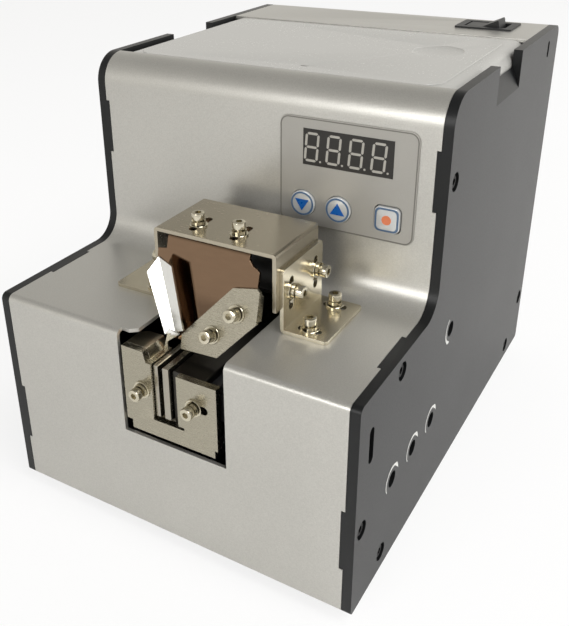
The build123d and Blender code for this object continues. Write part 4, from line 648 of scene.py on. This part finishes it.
def turn_mark(y, z, start, sweep):
    """Arc beside a hole, growing wider to a pointed head."""
    bm = bmesh.new()
    inner, outer = [], []
    for step in range(MARK_STEPS + 1):
        share = step / MARK_STEPS
        angle = radians(start + sweep * share)
        half = TAIL_HALF + MARK_SWELL * share
        if share > HEAD_FROM:
            half = MARK_HEAD * (1 - share) / (1 - HEAD_FROM) + 0.02
        for side, r in ((inner, MARK_R - half), (outer, MARK_R + half)):
            place = seat(OUTER_FACE - MARK_SUNK, y + r * cos(angle), z + r * sin(angle))
            side.append(bm.verts.new(place))
    band = [bm.faces.new(four) for four in zip(inner, inner[1:], outer[1:], outer)]
    thickened(bm, band, (MARK_T, 0, 0))
    return outward(bm)


for number, mark in enumerate(MARKS, 1):
    piece = made_piece(turn_mark(*mark), f"turn_mark_{number}", "casing")
    dress(piece, white_ink)

# ------------------------------------------------------------------ power inlet
# A round socket of black plastic with a ring nut, low in the rear cover.
dress(eased_copy("dc_jack", "casing", 0.0002), switch_frame)

# ------------------------------------------------------------------ floor, light and camera
# A plain pale floor under a white surround.  Soft round lamps stand before the front, above on
# the right and behind on the right, and the camera looks down a little from the right.
FLOOR_GREY, FLOOR_GLOW = (0.93, 0.93, 0.93, 1), 0.8
CAMERA_AT, LENS, SHIFT = (126.4, -158.14, 195.59), 47.51, (0.0788, -0.1004)
AZIMUTH, ELEVATION, ROLL = radians(32.235), radians(25.277), radians(-1.39)
SKY_COLOUR, SKY_LOW, SKY_HIGH = (1, 0.97, 0.91, 1), 0.22, 0.92


def floor_material():
    """Pale floor that the camera sees nearly white, with the object's shadow faint on it."""
    material = bpy.data.materials.new("pale_floor")
    material.use_nodes = True
    nodes, links = material.node_tree.nodes, material.node_tree.links
    shader, out = nodes["Principled BSDF"], nodes["Material Output"]
    shader.inputs["Base Color"].default_value = FLOOR_GREY
    shader.inputs["Roughness"].default_value = 0.7
    glow, mix = nodes.new("ShaderNodeEmission"), nodes.new("ShaderNodeMixShader")
    seen, share = nodes.new("ShaderNodeLightPath"), nodes.new("ShaderNodeMath")
    share.operation = "MULTIPLY"
    share.inputs[1].default_value = FLOOR_GLOW
    links.new(seen.outputs["Is Camera Ray"], share.inputs[0])
    links.new(share.outputs[0], mix.inputs["Fac"])
    links.new(shader.outputs[0], mix.inputs[1])
    links.new(glow.outputs[0], mix.inputs[2])
    links.new(mix.outputs[0], out.inputs["Surface"])
    return material


bm = bmesh.new()
bmesh.ops.create_grid(bm, x_segments=1, y_segments=1, size=3.0)
floor_mesh = bpy.data.meshes.new("floor")
bm.to_mesh(floor_mesh)
bm.free()
floor = bpy.data.objects.new("floor", floor_mesh)
bpy.context.scene.collection.objects.link(floor)
floor.data.materials.append(floor_material())


def soft_lamp(name, at, size, power):
    """Round area lamp that looks at the middle of the object."""
    lamp = bpy.data.lights.new(name, "AREA")
    lamp.shape = "DISK"
    lamp.size = size
    lamp.energy = power
    item = bpy.data.objects.new(name, lamp)
    item.location = at
    item.rotation_euler = (Vector((0, 0, 0.07)) - Vector(at)).to_track_quat("-Z", "Y").to_euler()
    bpy.context.scene.collection.objects.link(item)


soft_lamp("front", (-0.15, -1.08, 0.50), 0.5, 3.6)
soft_lamp("over_right", (0.7, -0.25, 1.1), 0.7, 9.0)
soft_lamp("from_right_rear", (1.1, 0.9, 0.6), 0.9, 9.0)


def surround():
    """Pale sky, dimmer towards the ground, which the camera sees as plain white."""
    world = bpy.data.worlds.new("surround")
    world.use_nodes = True
    nodes, links = world.node_tree.nodes, world.node_tree.links
    nodes.clear()
    lit, white = nodes.new("ShaderNodeBackground"), nodes.new("ShaderNodeBackground")
    way, axes = nodes.new("ShaderNodeNewGeometry"), nodes.new("ShaderNodeSeparateXYZ")
    level, seen = nodes.new("ShaderNodeMapRange"), nodes.new("ShaderNodeLightPath")
    choose, out = nodes.new("ShaderNodeMixShader"), nodes.new("ShaderNodeOutputWorld")
    level.inputs["From Min"].default_value, level.inputs["From Max"].default_value = -1.0, -0.1
    level.inputs["To Min"].default_value, level.inputs["To Max"].default_value = SKY_LOW, SKY_HIGH
    lit.inputs["Color"].default_value = SKY_COLOUR
    white.inputs["Color"].default_value = (1, 1, 1, 1)
    links.new(way.outputs["Incoming"], axes.inputs[0])
    links.new(axes.outputs["Z"], level.inputs["Value"])
    links.new(level.outputs["Result"], lit.inputs["Strength"])
    links.new(seen.outputs["Is Camera Ray"], choose.inputs["Fac"])
    links.new(lit.outputs[0], choose.inputs[1])
    links.new(white.outputs[0], choose.inputs[2])
    links.new(choose.outputs[0], out.inputs["Surface"])
    return world


bpy.context.scene.world = surround()

camera_data = bpy.data.cameras.new("camera")
camera_data.lens = LENS
camera_data.sensor_width = 36.0
camera_data.shift_x, camera_data.shift_y = SHIFT
camera = bpy.data.objects.new("camera", camera_data)
camera.matrix_world = (Matrix.Translation(seat(*CAMERA_AT)) @ Matrix.Rotation(AZIMUTH, 4, "Z")
                       @ Matrix.Rotation(pi / 2 - ELEVATION, 4, "X")
                       @ Matrix.Rotation(ROLL, 4, "Z"))
bpy.context.scene.collection.objects.link(camera)
bpy.context.scene.camera = camera
bpy.context.scene.view_settings.view_transform = "Standard"
